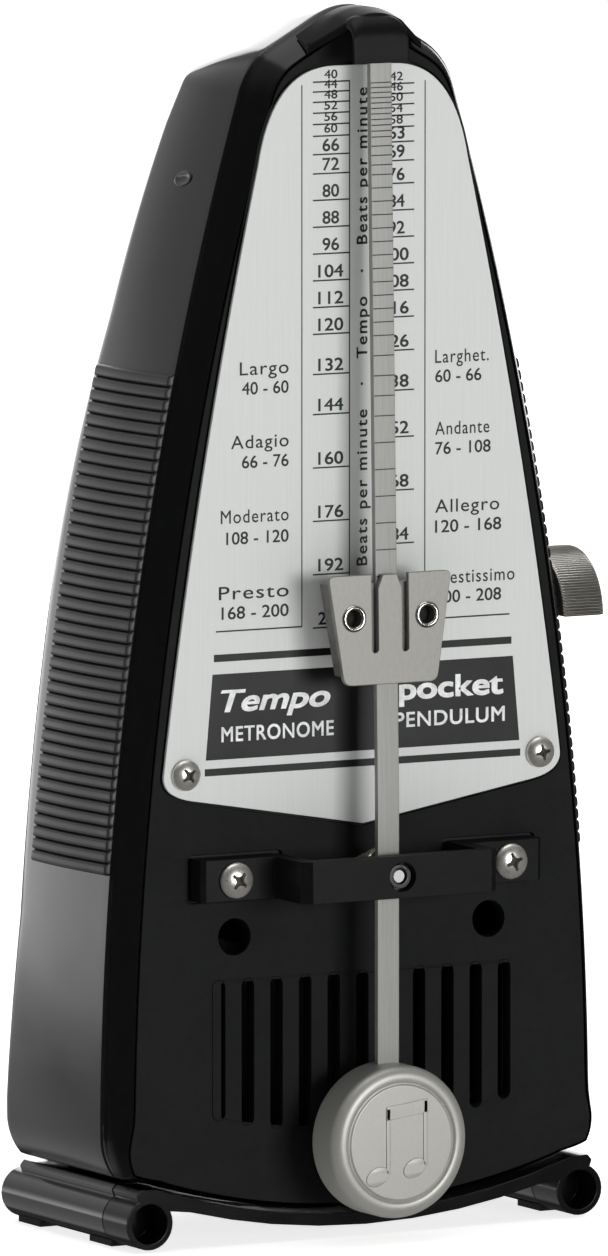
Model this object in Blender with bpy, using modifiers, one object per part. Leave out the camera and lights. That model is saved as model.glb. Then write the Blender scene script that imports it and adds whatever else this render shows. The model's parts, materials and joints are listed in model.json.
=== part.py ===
"""Pocket pendulum metronome, built as an assembly of separate solids.

Every size below is in millimetres in a working frame: X = 0 is the plane of
symmetry, Y = 0 is the face of the front panel with +Y towards the back, and
Z = 0 is the surface that the metronome stands on. The root empty shifts the
whole assembly so that the centre of its footprint is the world origin.
"""

import math

import bmesh
import bpy
from mathutils import Matrix, Vector

MM = 0.001
GAP = 0.3
SIDES = ((-1, "left"), (1, "right"))

# Casing
BODY_TOP_Z = 160.0
SIDE_HALF_WIDTH = 36.15
SIDE_ARC_RADIUS = 475.0
SIDE_ARC_Z = 11.0
CORNER_RADIUS = 8.0
CORNER_CENTRE = (28.1, 14.5)
BOTTOM_Z = 3.55
BOTTOM_ARC_RADIUS = 94.0
SHOULDER_Z = 148.5
SIDE_BULGE = 1.0
FRAME_DEPTH = 4.2
FRAME_WIDTH = 2.4
FRAME_BULGE = 0.18
SHELL_FRONT_Y = 4.5
SHELL_WALL = 1.8
BACK_Y = 32.0
BACK_CORNER = 6.0
BACK_CORNER_AT_ENDS = 2.4
PANEL_THICKNESS = 2.2

# Hood at the top of the front, with the tongue that holds the parked rod
HOOD_HALF_WIDTH = 8.4
HOOD_FLAT = 4.0
HOOD_BACK_Y = 2.6
TONGUE_LEFT_X = -4.3
TONGUE_RIGHT_X = 3.7
TONGUE_EDGE_Z = 153.0

# Ribs on both sides
RIB_COUNT = 41
RIB_BOTTOM_Z = 48.6
RIB_TOP_Z = 113.0
RIB_HEIGHT = 0.85
RIB_GROOVE = 0.5
RIB_BACK_Y = 23.8

# Base with its two foot tubes
FOOT_X = 32.0
FOOT_Z = 3.75
FOOT_RING_RADIUS = 3.4
FOOT_TUBE_RADIUS = 3.3
FOOT_RECESS_RADIUS = 2.6
FOOT_FRONT_Y = -1.1
FOOT_SEAM_Y = 5.4
FOOT_BACK_Y = 33.5
FOOT_RECESS_BACK_Y = 3.6
LIP_BOTTOM_Z = 1.5
LIP_BOTTOM_RADIUS = 100.0
LIP_THICKNESS = 1.7
PAD_SIZE = (3.0, 6.0, 1.2)
PAD_FRONT_Y = 9.5
PAD_BACK_Y = 29.0

# Scale plate
PLATE_FRONT_Y = -0.3
PLATE_THICKNESS = 0.5
PLATE_TOP_Z = 152.5
PLATE_TOP_HALF = 13.2
PLATE_CORNER_Z = 58.2
PLATE_HALF_WIDTH = 29.9
PLATE_APEX_Z = 53.9
PLATE_SCREW = (26.3, 61.7)

# Sound slots and round holes
SLOT_COUNT = 11
SLOT_PITCH = 4.24
SLOT_WIDTH = 1.93
SLOT_TOP_Z = 34.65
SLOT_BOTTOM_Z = 14.0
SLOT_ARC_RADIUS = 97.0
HOLE = (18.9, 40.2)
HOLE_RADIUS = 2.38

# Pendulum
PIVOT_Z = 48.0
AXLE_RADIUS = 0.8
AXLE_FRONT_Y = -9.7
AXLE_BACK_Y = 26.4
ROD_WIDTH = 3.2
ROD_THICKNESS = 0.9
ROD_FRONT_Y = -7.0
ROD_TIP_FRONT_Y = -4.75
ROD_BEND_Z = 58.0
ROD_TIP_Z = 155.9
BOB_Z = 13.35
BOB_RADIUS = 10.0
BOB_FACE_RADIUS = 8.6
BOB_FRONT_Y = -10.6
BOB_BACK_Y = -4.1
HUB_RADIUS = 3.25
HUB_FRONT_Y = -5.75
HUB_BACK_Y = -1.0
ROD_LEAN = math.atan((ROD_TIP_FRONT_Y - ROD_FRONT_Y) / (ROD_TIP_Z - ROD_BEND_Z))

# Bridge over the pivot
BRIDGE_FRONT_Y = -10.8
BRIDGE_HALF_WIDTH = 14.5
BRIDGE_HEIGHT = 5.5
BRIDGE_WALL = 2.1
BRIDGE_FOOT_END = 25.3
BRIDGE_SCREW_X = 20.4
BRIDGE_FOOT_Y = -3.0

# Tempo weight, in heights along the rod
WEIGHT_TOP_Z = 87.1
WEIGHT_HEIGHT = 14.3
WEIGHT_TOP_HALF = 9.1
WEIGHT_BOTTOM_HALF = 6.85
WEIGHT_FACE_THICKNESS = 0.7
RIVET_X = 5.4
RIVET_DROP = 5.6

# Winding key
KEY_Y = 14.5
KEY_Z = 83.0
KEY_INNER_X = 33.6
KEY_OUTER_X = 39.8
KEY_RADIUS = 8.75
KEY_FLAT_DROP = 4.35
KEY_WELL_RADIUS = 10.4
KEY_WELL_X = 32.3
KEY_COLLAR_RADIUS = 4.8

# Movement
PLATE_LEFT_X = -11.5
PLATE_RIGHT_X = 12.5
MOVEMENT_PLATE_THICKNESS = 1.0
MOVEMENT_FRONT_Y = 3.6
MOVEMENT_BACK_Y = 26.5
MOVEMENT_BOTTOM_Z = 37.5
MOVEMENT_TOP_Z = 97.0
ARBOR_RADIUS = 1.5
GREAT_TEETH, SECOND_PINION_TEETH = 48, 12
SECOND_TEETH, THIRD_PINION_TEETH = 40, 10
THIRD_TEETH, CROWN_PINION_TEETH = 36, 12
CROWN_TEETH = 16
MESHING_PAIRS = (
    GREAT_TEETH + SECOND_PINION_TEETH,
    SECOND_TEETH + THIRD_PINION_TEETH,
    THIRD_TEETH + CROWN_PINION_TEETH,
)
MODULE = (KEY_Z - PIVOT_Z) / (sum(MESHING_PAIRS) / 2)
SECOND_Z = KEY_Z - MODULE * MESHING_PAIRS[0] / 2
THIRD_Z = SECOND_Z - MODULE * MESHING_PAIRS[1] / 2
WHEEL_ARBOR_RADIUS = 0.9
WHEEL_BORE_RADIUS = 1.2
CROWN_RADIUS = 7.5
CROWN_TIP_X = 2.5
PALLET_REACH = 3.4
PALLET_SPREAD_DEG = 52.0
REST_SWING_DEG = 22.0
PILLAR_PLACES = ((5.6, 40.2), (24.4, 40.2), (5.6, 95.0), (24.4, 95.0))
RATCHET_TEETH = 20
RATCHET_X = PLATE_RIGHT_X + MOVEMENT_PLATE_THICKNESS + 0.6
RATCHET_THICKNESS = 1.3
CLICK_PLACE = (KEY_Y + 9.2, KEY_Z + 3.2)
BARREL_RADIUS = 10.0
BARREL_LEFT_X = -8.0
BARREL_RIGHT_X = 4.5
BARREL_WALL = 0.7

# Screws
CROSS_TURN_DEG = 25.0
HOUSING_SCREW_X = 22.0
HOUSING_SCREW_Z = 14.0

# Footprint of the whole assembly, which the root empty centres on the origin
FOOTPRINT_X = (-SIDE_HALF_WIDTH - SIDE_BULGE * 0.8, KEY_OUTER_X)
FOOTPRINT_Y = (BRIDGE_FRONT_Y, FOOT_BACK_Y)


# --------------------------------------------------------------- scene set-up


def clear_scene():
    for thing in list(bpy.data.objects):
        bpy.data.objects.remove(thing, do_unlink=True)


def new_collection(name):
    made = bpy.data.collections.new(name)
    bpy.context.scene.collection.children.link(made)
    return made


def new_material(name, colour, roughness, metallic=0.0):
    made = bpy.data.materials.new(name)
    made.use_nodes = True
    shader = made.node_tree.nodes["Principled BSDF"]
    shader.inputs["Base Color"].default_value = (*colour, 1.0)
    shader.inputs["Roughness"].default_value = roughness
    shader.inputs["Metallic"].default_value = metallic
    made.diffuse_color = (*colour, 1.0)
    return made


def new_empty(name, place, parent=None):
    made = bpy.data.objects.new(name, None)
    made.empty_display_size = 5 * MM
    made.location = Vector(place) * MM
    PARTS.objects.link(made)
    if parent:
        made.parent = parent
    return made


def pivot(name, place):
    """An empty on a joint's axis: the pieces that move about it are its children."""
    return new_empty(name, place, ROOT)


def fasten(piece, body):
    """Hangs a piece, whose mesh is in the working frame, under the empty of its body."""
    piece.parent = body
    piece.location = -body.location if body is not ROOT else (0, 0, 0)


# --------------------------------------------------------------- solid makers


def add_object(name, mesh, material, body):
    made = bpy.data.objects.new(name, mesh)
    PARTS.objects.link(made)
    mesh.materials.append(material)
    fasten(made, body)
    return made


def finish_mesh(name, shape, smooth=True):
    bmesh.ops.recalc_face_normals(shape, faces=shape.faces)
    mesh = bpy.data.meshes.new(name)
    shape.to_mesh(mesh)
    shape.free()
    if smooth:
        mesh.shade_smooth()
        mesh.set_sharp_from_angle(angle=math.radians(35))
    return mesh


def on_axis(axis, along, across, up):
    """Puts (across, up, along) on the world axes for a shape whose length runs along X, Y or Z."""
    places = {"X": (along, across, up), "Y": (across, along, up), "Z": (across, up, along)}
    return Vector(places[axis]) * MM


def prism(name, outline, axis, low, high, material, body):
    """A flat outline drawn across an axis, extruded along it from low to high."""
    shape = bmesh.new()
    ring = [shape.verts.new(on_axis(axis, low, a, b)) for a, b in outline]
    face = shape.faces.new(ring)
    grown = bmesh.ops.extrude_face_region(shape, geom=[face])
    moved = [v for v in grown["geom"] if isinstance(v, bmesh.types.BMVert)]
    bmesh.ops.translate(shape, verts=moved, vec=on_axis(axis, high - low, 0, 0))
    return add_object(name, finish_mesh(name, shape), material, body)


def box(name, low, high, material, body):
    shape = bmesh.new()
    bmesh.ops.create_cube(shape, size=1.0)
    low, high = Vector(low) * MM, Vector(high) * MM
    bmesh.ops.scale(shape, verts=shape.verts, vec=high - low)
    bmesh.ops.translate(shape, verts=shape.verts, vec=(low + high) / 2)
    return add_object(name, finish_mesh(name, shape, smooth=False), material, body)


def cylinder(name, radius, axis, low, high, centre, material, body, sides=24, end_radius=None):
    """A round bar along an axis; centre is its place across that axis."""
    shape = bmesh.new()
    quarter = math.pi / 2
    turn = {"X": Matrix.Rotation(quarter, 4, "Y"), "Y": Matrix.Rotation(-quarter, 4, "X"), "Z": Matrix()}
    place = Matrix.Translation(on_axis(axis, (low + high) / 2, *centre))
    far = radius if end_radius is None else end_radius
    bmesh.ops.create_cone(
        shape,
        cap_ends=True,
        segments=sides,
        radius1=radius * MM,
        radius2=far * MM,
        depth=(high - low) * MM,
        matrix=place @ turn[axis],
    )
    return add_object(name, finish_mesh(name, shape), material, body)


def turned(name, profile, axis, centre, material, body, sides=32):
    """A closed profile of (radius, place along the axis) points, turned about that axis."""
    shape = bmesh.new()
    rings = []
    for radius, along in profile:
        if radius == 0:
            rings.append([shape.verts.new(on_axis(axis, along, *centre))])
            continue
        angles = [2 * math.pi * k / sides for k in range(sides)]
        spots = [(centre[0] + radius * math.cos(a), centre[1] + radius * math.sin(a)) for a in angles]
        rings.append([shape.verts.new(on_axis(axis, along, *spot)) for spot in spots])
    hollow = profile[0][0] > 0
    pairs = list(zip(rings, rings[1:] + rings[:1])) if hollow else list(zip(rings, rings[1:]))
    for first, second in pairs:
        for k in range(sides):
            corners = [first[k % len(first)], first[(k + 1) % len(first)]]
            corners += [second[(k + 1) % len(second)], second[k % len(second)]]
            shape.faces.new(list(dict.fromkeys(corners)))
    return add_object(name, finish_mesh(name, shape), material, body)


def strip(name, path, half, axis, low, high, material, body):
    """A band of constant thickness bent along a path across an axis, such as a flat spring."""
    shape = bmesh.new()
    sections = []
    for k, point in enumerate(path):
        before, after = path[max(k - 1, 0)], path[min(k + 1, len(path) - 1)]
        along = (Vector(after) - Vector(before)).normalized()
        normal = Vector((-along.y, along.x)) * half
        inner, outer = Vector(point) - normal, Vector(point) + normal
        corners = [(inner, low), (outer, low), (outer, high), (inner, high)]
        sections.append([shape.verts.new(on_axis(axis, end, *spot)) for spot, end in corners])
    for first, second in zip(sections, sections[1:]):
        for k in range(4):
            n = (k + 1) % 4
            shape.faces.new([first[k], first[n], second[n], second[k]])
    shape.faces.new(sections[0])
    shape.faces.new(sections[-1])
    return add_object(name, finish_mesh(name, shape), material, body)


def skin_rings(shape, rings):
    """Joins a row of closed rings with faces, and closes its two ends."""
    size = len(rings[0])
    for first, second in zip(rings, rings[1:]):
        for k in range(size):
            n = (k + 1) % size
            shape.faces.new([first[k], first[n], second[n], second[k]])
    shape.faces.new(rings[0])
    shape.faces.new(rings[-1])


def swept_ring(name, sections, material, body):
    """A closed ring of equal closed sections, given as world points in millimetres."""
    shape = bmesh.new()
    rows = [[shape.verts.new(Vector(p) * MM) for p in section] for section in sections]
    size = len(rows[0])
    for first, second in zip(rows, rows[1:] + rows[:1]):
        for k in range(size):
            n = (k + 1) % size
            shape.faces.new([first[k], first[n], second[n], second[k]])
    return add_object(name, finish_mesh(name, shape), material, body)


def combine(piece, other, operation):
    """Cuts or joins with a second object, which becomes a hidden helper."""
    for home in list(other.users_collection):
        home.objects.unlink(other)
    CUTTERS.objects.link(other)
    other.hide_render = True
    other.display_type = "WIRE"
    step = piece.modifiers.new(other.name, "BOOLEAN")
    step.operation = operation
    step.object = other
    step.solver = "EXACT"
    return piece


def cut(piece, cutter):
    return combine(piece, cutter, "DIFFERENCE")


def join(piece, other):
    return combine(piece, other, "UNION")


def bore(piece, radius, axis, low, high, centre, sides=20):
    name = f"{piece.name}_bore_{len(piece.modifiers)}"
    body = piece.parent
    return cut(piece, cylinder(name, radius, axis, low, high, centre, STEEL, body, sides))


def pocket(piece, low, high):
    name = f"{piece.name}_pocket_{len(piece.modifiers)}"
    return cut(piece, box(name, low, high, STEEL, piece.parent))


# ------------------------------------------------------------------- outlines


def arc(centre, radius, start, end, steps):
    """Points on an arc; the angles are in degrees."""
    turns = [math.radians(start + (end - start) * k / steps) for k in range(steps + 1)]
    return [(centre[0] + radius * math.cos(t), centre[1] + radius * math.sin(t)) for t in turns]


def bend(start, corner, end, steps):
    """A smooth bend from start to end that is tangent to the lines through a corner."""
    points = []
    for k in range(steps + 1):
        t = k / steps
        mix = [(1 - t) ** 2 * a + 2 * t * (1 - t) * b + t * t * c for a, b, c in zip(start, corner, end)]
        points.append(tuple(mix))
    return points


def mirrored(half):
    """A closed outline from its right half, which starts and ends on the plane of symmetry."""
    return half + [(-x, z) for x, z in reversed(half[1:-1])]


def rounded(corners, radius, steps=4):
    """A polygon whose corners are rounded; radius is one number or one for each corner."""
    points = []
    for k, corner in enumerate(corners):
        size = radius[k] if isinstance(radius, (list, tuple)) else radius
        if size == 0:
            points.append(corner)
            continue
        here = Vector(corner)
        before = (Vector(corners[k - 1]) - here).normalized()
        after = (Vector(corners[(k + 1) % len(corners)]) - here).normalized()
        half = math.acos(max(-1, min(1, before.dot(after)))) / 2
        reach = size / math.tan(half)
        centre = here + (before + after).normalized() * size / math.sin(half)
        start, end = here + before * reach - centre, here + after * reach - centre
        turn = start.angle_signed(end)
        for n in range(steps + 1):
            angle = -turn * n / steps
            spoke = Matrix.Rotation(angle, 2) @ start
            points.append(tuple(centre + spoke))
    return points


def inward(outline):
    """The unit vector into a counter-clockwise outline at each of its points."""
    normals = []
    for k, point in enumerate(outline):
        before = Vector(outline[k - 1])
        after = Vector(outline[(k + 1) % len(outline)])
        first = (Vector(point) - before).normalized()
        second = (after - Vector(point)).normalized()
        normal = Vector((-first.y - second.y, first.x + second.x)).normalized()
        normals.append(normal / max(0.5, normal.dot(Vector((-first.y, first.x)))))
    return normals


def side_half_width(z):
    return SIDE_HALF_WIDTH - SIDE_ARC_RADIUS + math.sqrt(SIDE_ARC_RADIUS**2 - (z - SIDE_ARC_Z) ** 2)


def bottom_z(x):
    return BOTTOM_Z + x * x / (2 * BOTTOM_ARC_RADIUS)


def body_outline():
    """The casing seen from the front, counter-clockwise from the middle of its bottom."""
    half = [(x, bottom_z(x)) for x in (0, 6, 12, 18, 24, 30)]
    half += arc(CORNER_CENTRE, CORNER_RADIUS, -40, 0, 4)
    rows = 8
    for k in range(rows + 1):
        z = 19 + (SHOULDER_Z - 19) * k / rows
        half.append((side_half_width(z), z))
    shoulder = (14.75, 152.6)
    half += bend(half[-1], shoulder, (11.5, 154.7), 4)[1:]
    half += [(8.2, 156.65)]
    half += bend((5.0, 158.4), (2.2, BODY_TOP_Z), (0, BODY_TOP_Z), 3)
    return mirrored(half)


def frame_width(z):
    """The band around the panel narrows to almost nothing along the bottom."""
    low, high = 8.0, 17.0
    share = min(1, max(0, (z - low) / (high - low)))
    return 0.5 + (FRAME_WIDTH - 0.5) * share


def inset_outline(outline, distance):
    points = []
    for (x, z), normal in zip(outline, inward(outline)):
        d = distance(z) if callable(distance) else distance
        points.append((x + normal.x * d, z + normal.y * d))
    return points


def back_y(z):
    """Depth of the casing's back at a height: upright below, curving forward at the top."""
    return BACK_Y - 0.0022 * max(z - 80, 0) ** 2


def back_corner(z):
    """Rounding between the side and the back, which tightens at the foot and at the shoulder."""
    share = min(1, max(0, (z - 16) / 25), max(0, (144 - z) / 25))
    return BACK_CORNER_AT_ENDS + (BACK_CORNER - BACK_CORNER_AT_ENDS) * share


def roof_fall(y, z):
    """How far the roof drops towards the back."""
    share = min(1, max(0, (z - 150) / 6))
    return 0.18 * (y - SHELL_FRONT_Y) * share


def bulge(y, z):
    """How far the side stands out, between the front frame and the back."""
    share = min(1, max(0, (y - SHELL_FRONT_Y) / (back_y(z) - SHELL_FRONT_Y)))
    low_ramp = min(1, max(0, (z - 10) / 10))
    return SIDE_BULGE * low_ramp * math.sin(math.pi * share)


def plate_half_width(z):
    lower = PLATE_CORNER_Z + 3.8
    return 29.4 - 0.126 * (z - lower) - 0.00067 * (z - lower) ** 2


def plate_outline(margin=0.0):
    """The scale plate: a foot like a shallow V, slanting sides and rounded shoulders."""
    half = [(0, PLATE_APEX_Z)]
    half += bend((25.2, 58.23), (29.9, 59.04), (29.4, 62.0), 4)
    half += [(plate_half_width(z), z) for z in (80, 100, 120, 138)]
    half += bend((plate_half_width(140), 140), (13.4, 152.3), (4.6, PLATE_TOP_Z), 6)
    half += [(0, PLATE_TOP_Z)]
    outline = mirrored(half)
    return inset_outline(outline, -margin) if margin else outline


def gear_outline(teeth, centre, first_tooth, tip=0.75, root=1.0, centre_y=KEY_Y):
    """Straight-flanked teeth, with one tooth centred at the angle first_tooth, in degrees."""
    pitch_radius = MODULE * teeth / 2
    step = 360.0 / teeth
    points = []
    for k in range(teeth):
        middle = first_tooth + k * step
        for share, radius in ((-0.3, -root), (-0.14, tip), (0.14, tip), (0.3, -root)):
            turn = math.radians(middle + share * step)
            r = pitch_radius + radius * MODULE
            points.append((centre_y + r * math.cos(turn), centre + r * math.sin(turn)))
    return points


# --------------------------------------------------------------------- casing


def build_housing():
    outline = body_outline()
    normals = inward(outline)
    turns = [math.pi / 2 * k / 3 for k in range(4)]
    shape = bmesh.new()
    rings = []
    for (x, z), normal in zip(outline, normals):
        deepest = back_y(z)
        corner = back_corner(z)
        straight = deepest - corner
        depths = [SHELL_FRONT_Y + (straight - SHELL_FRONT_Y) * k / 3 for k in range(3)]
        spots = [(0.0, y) for y in depths]
        spots += [(corner * (1 - math.cos(t)), straight + corner * math.sin(t)) for t in turns]
        ring = []
        for inset, y in spots:
            shift = inset - bulge(y, z) * abs(normal.x)
            place = (x + normal.x * shift, y, z + normal.y * shift - roof_fall(y, z))
            ring.append(shape.verts.new(Vector(place) * MM))
        rings.append(ring)
    for first, second in zip(rings, rings[1:] + rings[:1]):
        for k in range(len(first) - 1):
            shape.faces.new([first[k], second[k], second[k + 1], first[k + 1]])
    backs = [ring[-1] for ring in rings]
    count = len(backs)
    for k in range(1, count // 2 - 1):
        shape.faces.new([backs[k], backs[k + 1], backs[count - k - 1], backs[count - k]])
    shape.faces.new([backs[0], backs[1], backs[-1]])
    middle = count // 2
    shape.faces.new([backs[middle], backs[middle + 1], backs[middle - 1]])
    housing = add_object("housing", finish_mesh("housing", shape), GLOSS_BLACK, ROOT)
    wall = housing.modifiers.new("wall", "SOLIDIFY")
    wall.thickness = SHELL_WALL * MM
    wall.offset = -1.0
    for side, word in SIDES:
        join(housing, build_ribs(side, word))
    well = cylinder("key_well", KEY_WELL_RADIUS, "X", KEY_WELL_X, 45, (KEY_Y, KEY_Z), STEEL, ROOT, 36)
    cut(housing, well)
    bore(housing, 2.0, "X", 24, 45, (KEY_Y, KEY_Z))
    for side, _ in SIDES:
        bore(housing, 1.3, "Y", 28, 40, (side * HOUSING_SCREW_X, HOUSING_SCREW_Z), 16)


def build_ribs(side, word):
    """One side's ribs, as a strip of rounded ridges set into the wall."""
    heights = []
    pitch = (RIB_TOP_Z - RIB_BOTTOM_Z) / RIB_COUNT
    for k in range(RIB_COUNT):
        heights += [(RIB_BOTTOM_Z + (k + share) * pitch, rise) for share, rise in ((0, RIB_GROOVE), (0.5, 1))]
    heights.append((RIB_TOP_Z, RIB_GROOVE))
    middle = (SHELL_FRONT_Y + RIB_BACK_Y) / 2
    shape = bmesh.new()
    rings = []
    for y in (SHELL_FRONT_Y + 0.15, middle, RIB_BACK_Y):
        ring = []
        for z, rise in heights:
            x = side_half_width(z) + bulge(y, z) + RIB_HEIGHT * rise
            ring.append(shape.verts.new(Vector((side * x, y, z)) * MM))
        for z in (RIB_TOP_Z, (RIB_TOP_Z + RIB_BOTTOM_Z) / 2, RIB_BOTTOM_Z):
            x = side_half_width(z) + bulge(y, z) - SHELL_WALL * 0.55
            ring.append(shape.verts.new(Vector((side * x, y, z)) * MM))
        rings.append(ring)
    skin_rings(shape, rings)
    return add_object(f"ribs_{word}", finish_mesh("ribs", shape), GLOSS_BLACK, ROOT)


def build_front_frame():
    outline = body_outline()
    sections = []
    for (x, z), normal in zip(outline, inward(outline)):
        width = frame_width(z)
        profile = [(0.0, FRAME_DEPTH)]
        for share in (0.08, 0.3, 0.55, 0.8):
            rise = FRAME_BULGE * math.sin(math.pi * share)
            profile.append((width * share * 0.95 - rise * 0.87, FRAME_DEPTH * (1 - share) - rise * 0.49))
        profile += [(width * 0.94, 0.0), (width, 0.0), (width, FRAME_DEPTH)]
        sections.append([(x + normal.x * d, y, z + normal.y * d) for d, y in profile])
    return swept_ring("front_frame", sections, GLOSS_BLACK, ROOT)


def slot_outline(x, low, high):
    """An upright slot with half-round ends."""
    radius = SLOT_WIDTH / 2
    points = arc((x, high - radius), radius, 0, 180, 5)
    return points + arc((x, low + radius), radius, 180, 360, 5)


def build_front_panel():
    outline = inset_outline(body_outline(), lambda z: frame_width(z) + GAP)
    panel = prism("front_panel", outline, "Y", 0, PANEL_THICKNESS, MATTE_BLACK, ROOT)
    recess = prism("plate_recess", plate_outline(GAP), "Y", -1, 0.5, MATTE_BLACK, ROOT)
    cut(panel, recess)
    middle = (SLOT_COUNT - 1) / 2
    for k in range(SLOT_COUNT):
        x = (k - middle) * SLOT_PITCH
        low = SLOT_BOTTOM_Z + x * x / (2 * SLOT_ARC_RADIUS)
        outline = slot_outline(x, low, SLOT_TOP_Z)
        cut(panel, prism(f"slot_{k}", outline, "Y", -1, 4, MATTE_BLACK, ROOT))
    for side, _ in SIDES:
        bore(panel, HOLE_RADIUS, "Y", -1, 4, (side * HOLE[0], HOLE[1]), 28)
        bore(panel, 1.2, "Y", -1, 4, (side * PLATE_SCREW[0], PLATE_SCREW[1]), 12)
        bore(panel, 1.3, "Y", -1, 4, (side * BRIDGE_SCREW_X, PIVOT_Z), 12)
        inner, outer = sorted((side * 11.9, side * 25.6))
        pocket(panel, (inner, -1, PIVOT_Z - 3.0), (outer, 0.8, PIVOT_Z + 3.0))
    bore(panel, 2.4, "Y", -1, 4, (0, PIVOT_Z), 24)
    return panel


def lip_outline(top_shift=0.0):
    """The base seen from the front: a shallow bow whose ends rise into small ears."""
    lower = [(x, LIP_BOTTOM_Z + x * x / (2 * LIP_BOTTOM_RADIUS)) for x in (0, 7, 14, 20, 26)]
    upper = [(x, bottom_z(x) - GAP + top_shift) for x in (31.0, 24, 18, 12, 6, 0)]
    ear = [(30.5, 5.4), (33.4, 6.2), (33.9, 7.6), (33.3, 8.3)]
    return mirrored(lower + ear + upper)


def build_base():
    rear_lip = prism("base_rear", lip_outline(), "Y", FOOT_SEAM_Y + GAP, 31.0, GLOSS_BLACK, ROOT)
    front_lip = prism("base_front", lip_outline(-0.15), "Y", FOOT_FRONT_Y, FOOT_SEAM_Y, GLOSS_BLACK, ROOT)
    seam = FOOT_SEAM_Y + GAP
    for side, word in SIDES:
        place = (side * FOOT_X, FOOT_Z)
        tube = cylinder(
            f"foot_tube_{word}", FOOT_TUBE_RADIUS, "Y", seam, FOOT_BACK_Y, place, GLOSS_BLACK, ROOT, 32
        )
        join(rear_lip, tube)
        ends = (FOOT_FRONT_Y, FOOT_SEAM_Y)
        ring = cylinder(f"foot_ring_{word}", FOOT_RING_RADIUS, "Y", *ends, place, GLOSS_BLACK, ROOT, 32)
        join(front_lip, ring)
        bore(front_lip, FOOT_RECESS_RADIUS, "Y", -3, FOOT_RECESS_BACK_Y, place, 28)
        for y, end in ((PAD_FRONT_Y, "front"), (PAD_BACK_Y, "rear")):
            build_pad(rear_lip, side * FOOT_X, y, f"foot_pad_{end}_{word}")


def build_pad(base, x, y, name):
    """A rubber pad set into the underside of the base, standing a little proud of it."""
    width, length, height = PAD_SIZE
    low, high = (x - width / 2, y - length / 2), (x + width / 2, y + length / 2)
    pocket(base, (low[0] - GAP, low[1] - GAP, -1), (high[0] + GAP, high[1] + GAP, height + GAP))
    box(name, (*low, 0), (*high, height), RUBBER, ROOT)


def hood_section(x):
    """Depth and height of the hood's outline where it crosses a place along X."""
    reach = min(1, max(0, (abs(x) - HOOD_FLAT) / (HOOD_HALF_WIDTH - HOOD_FLAT)))
    slope = min(0.128 * abs(x), 0.555)
    roof = BODY_TOP_Z - (0.064 * x * x if abs(x) < 5 else 1.6 + 0.555 * (abs(x) - 5))
    stretch = math.sqrt(1 + slope * slope)
    depth = 0.3 + 2.8 * (1 - reach)
    low = 157.2 - 0.68 * max(0, abs(x) - HOOD_FLAT)
    points = []
    for y in (HOOD_BACK_Y, 1.2, -GAP):
        seat = roof - ((FRAME_DEPTH - y) * 0.543 - 0.56) * stretch
        points.append((y, seat, seat + (roof - 0.02 - seat) * (1 - 0.55 * reach)))
    front, edge = -GAP - depth, points[-1][2] - 0.2 * depth
    section = [(y, top) for y, _, top in points]
    section += [(front + 0.3, edge), (front, edge - 0.4), (front, low), (-GAP, low)]
    return section + [(y, seat) for y, seat, _ in points[::-1]]


def build_rod_catch():
    """The hood over the top of the front, with the tongue that holds the parked rod."""
    shape = bmesh.new()
    rings = []
    for share in (-1, -0.85, -0.7, -0.5, -0.25, 0, 0.25, 0.5, 0.7, 0.85, 1):
        x = HOOD_HALF_WIDTH * share
        rings.append([shape.verts.new(Vector((x, y, z)) * MM) for y, z in hood_section(x)])
    skin_rings(shape, rings)
    hood = add_object("rod_catch", finish_mesh("rod_catch", shape), MATTE_BLACK, ROOT)
    side = [(-2.6, 157.6), (-2.6, 159.0), (-4.1, 158.7), (-5.1, 157.7), (-5.6, 156.2)]
    side += [(-5.7, TONGUE_EDGE_Z), (-5.15, TONGUE_EDGE_Z), (-5.1, 156.0), (-4.7, 157.0), (-4.0, 157.6)]
    join(hood, prism("tongue", side, "X", TONGUE_LEFT_X, TONGUE_RIGHT_X, MATTE_BLACK, ROOT))


def build_scale_plate():
    low, high = PLATE_FRONT_Y, PLATE_FRONT_Y + PLATE_THICKNESS
    plate = prism("scale_plate", plate_outline(), "Y", low, high, ALUMINIUM, ROOT)
    for side, _ in SIDES:
        bore(plate, 1.2, "Y", -2, 2, (side * PLATE_SCREW[0], PLATE_SCREW[1]), 16)


def build_screw(name, x, z, seat_y, head_radius, head_height, length, shank):
    """A domed cross-head screw that points along +Y, with its head's seat at seat_y."""
    top = seat_y - head_height
    profile = [
        (0, top),
        (head_radius * 0.55, top + 0.08 * head_height),
        (head_radius * 0.88, top + 0.35 * head_height),
        (head_radius, top + 0.8 * head_height),
        (head_radius * 0.97, seat_y),
        (shank, seat_y),
        (shank, seat_y + length),
        (0, seat_y + length),
    ]
    screw = turned(name, profile, "Y", (x, z), NICKEL, ROOT, 16)
    arm, half = head_radius * 0.56, head_radius * 0.14
    quarter = [(half, half), (half, arm), (-half, arm)]
    cross = []
    for k in range(4):
        turn = Matrix.Rotation(math.radians(90 * k + CROSS_TURN_DEG), 2)
        cross += [turn @ Vector(p) for p in quarter]
    outline = [(x + p.x, z + p.y) for p in cross]
    low, high = top - 1, top + head_height * 0.7
    return cut(screw, prism(f"{name}_cross", outline, "Y", low, high, STEEL, ROOT))


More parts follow.
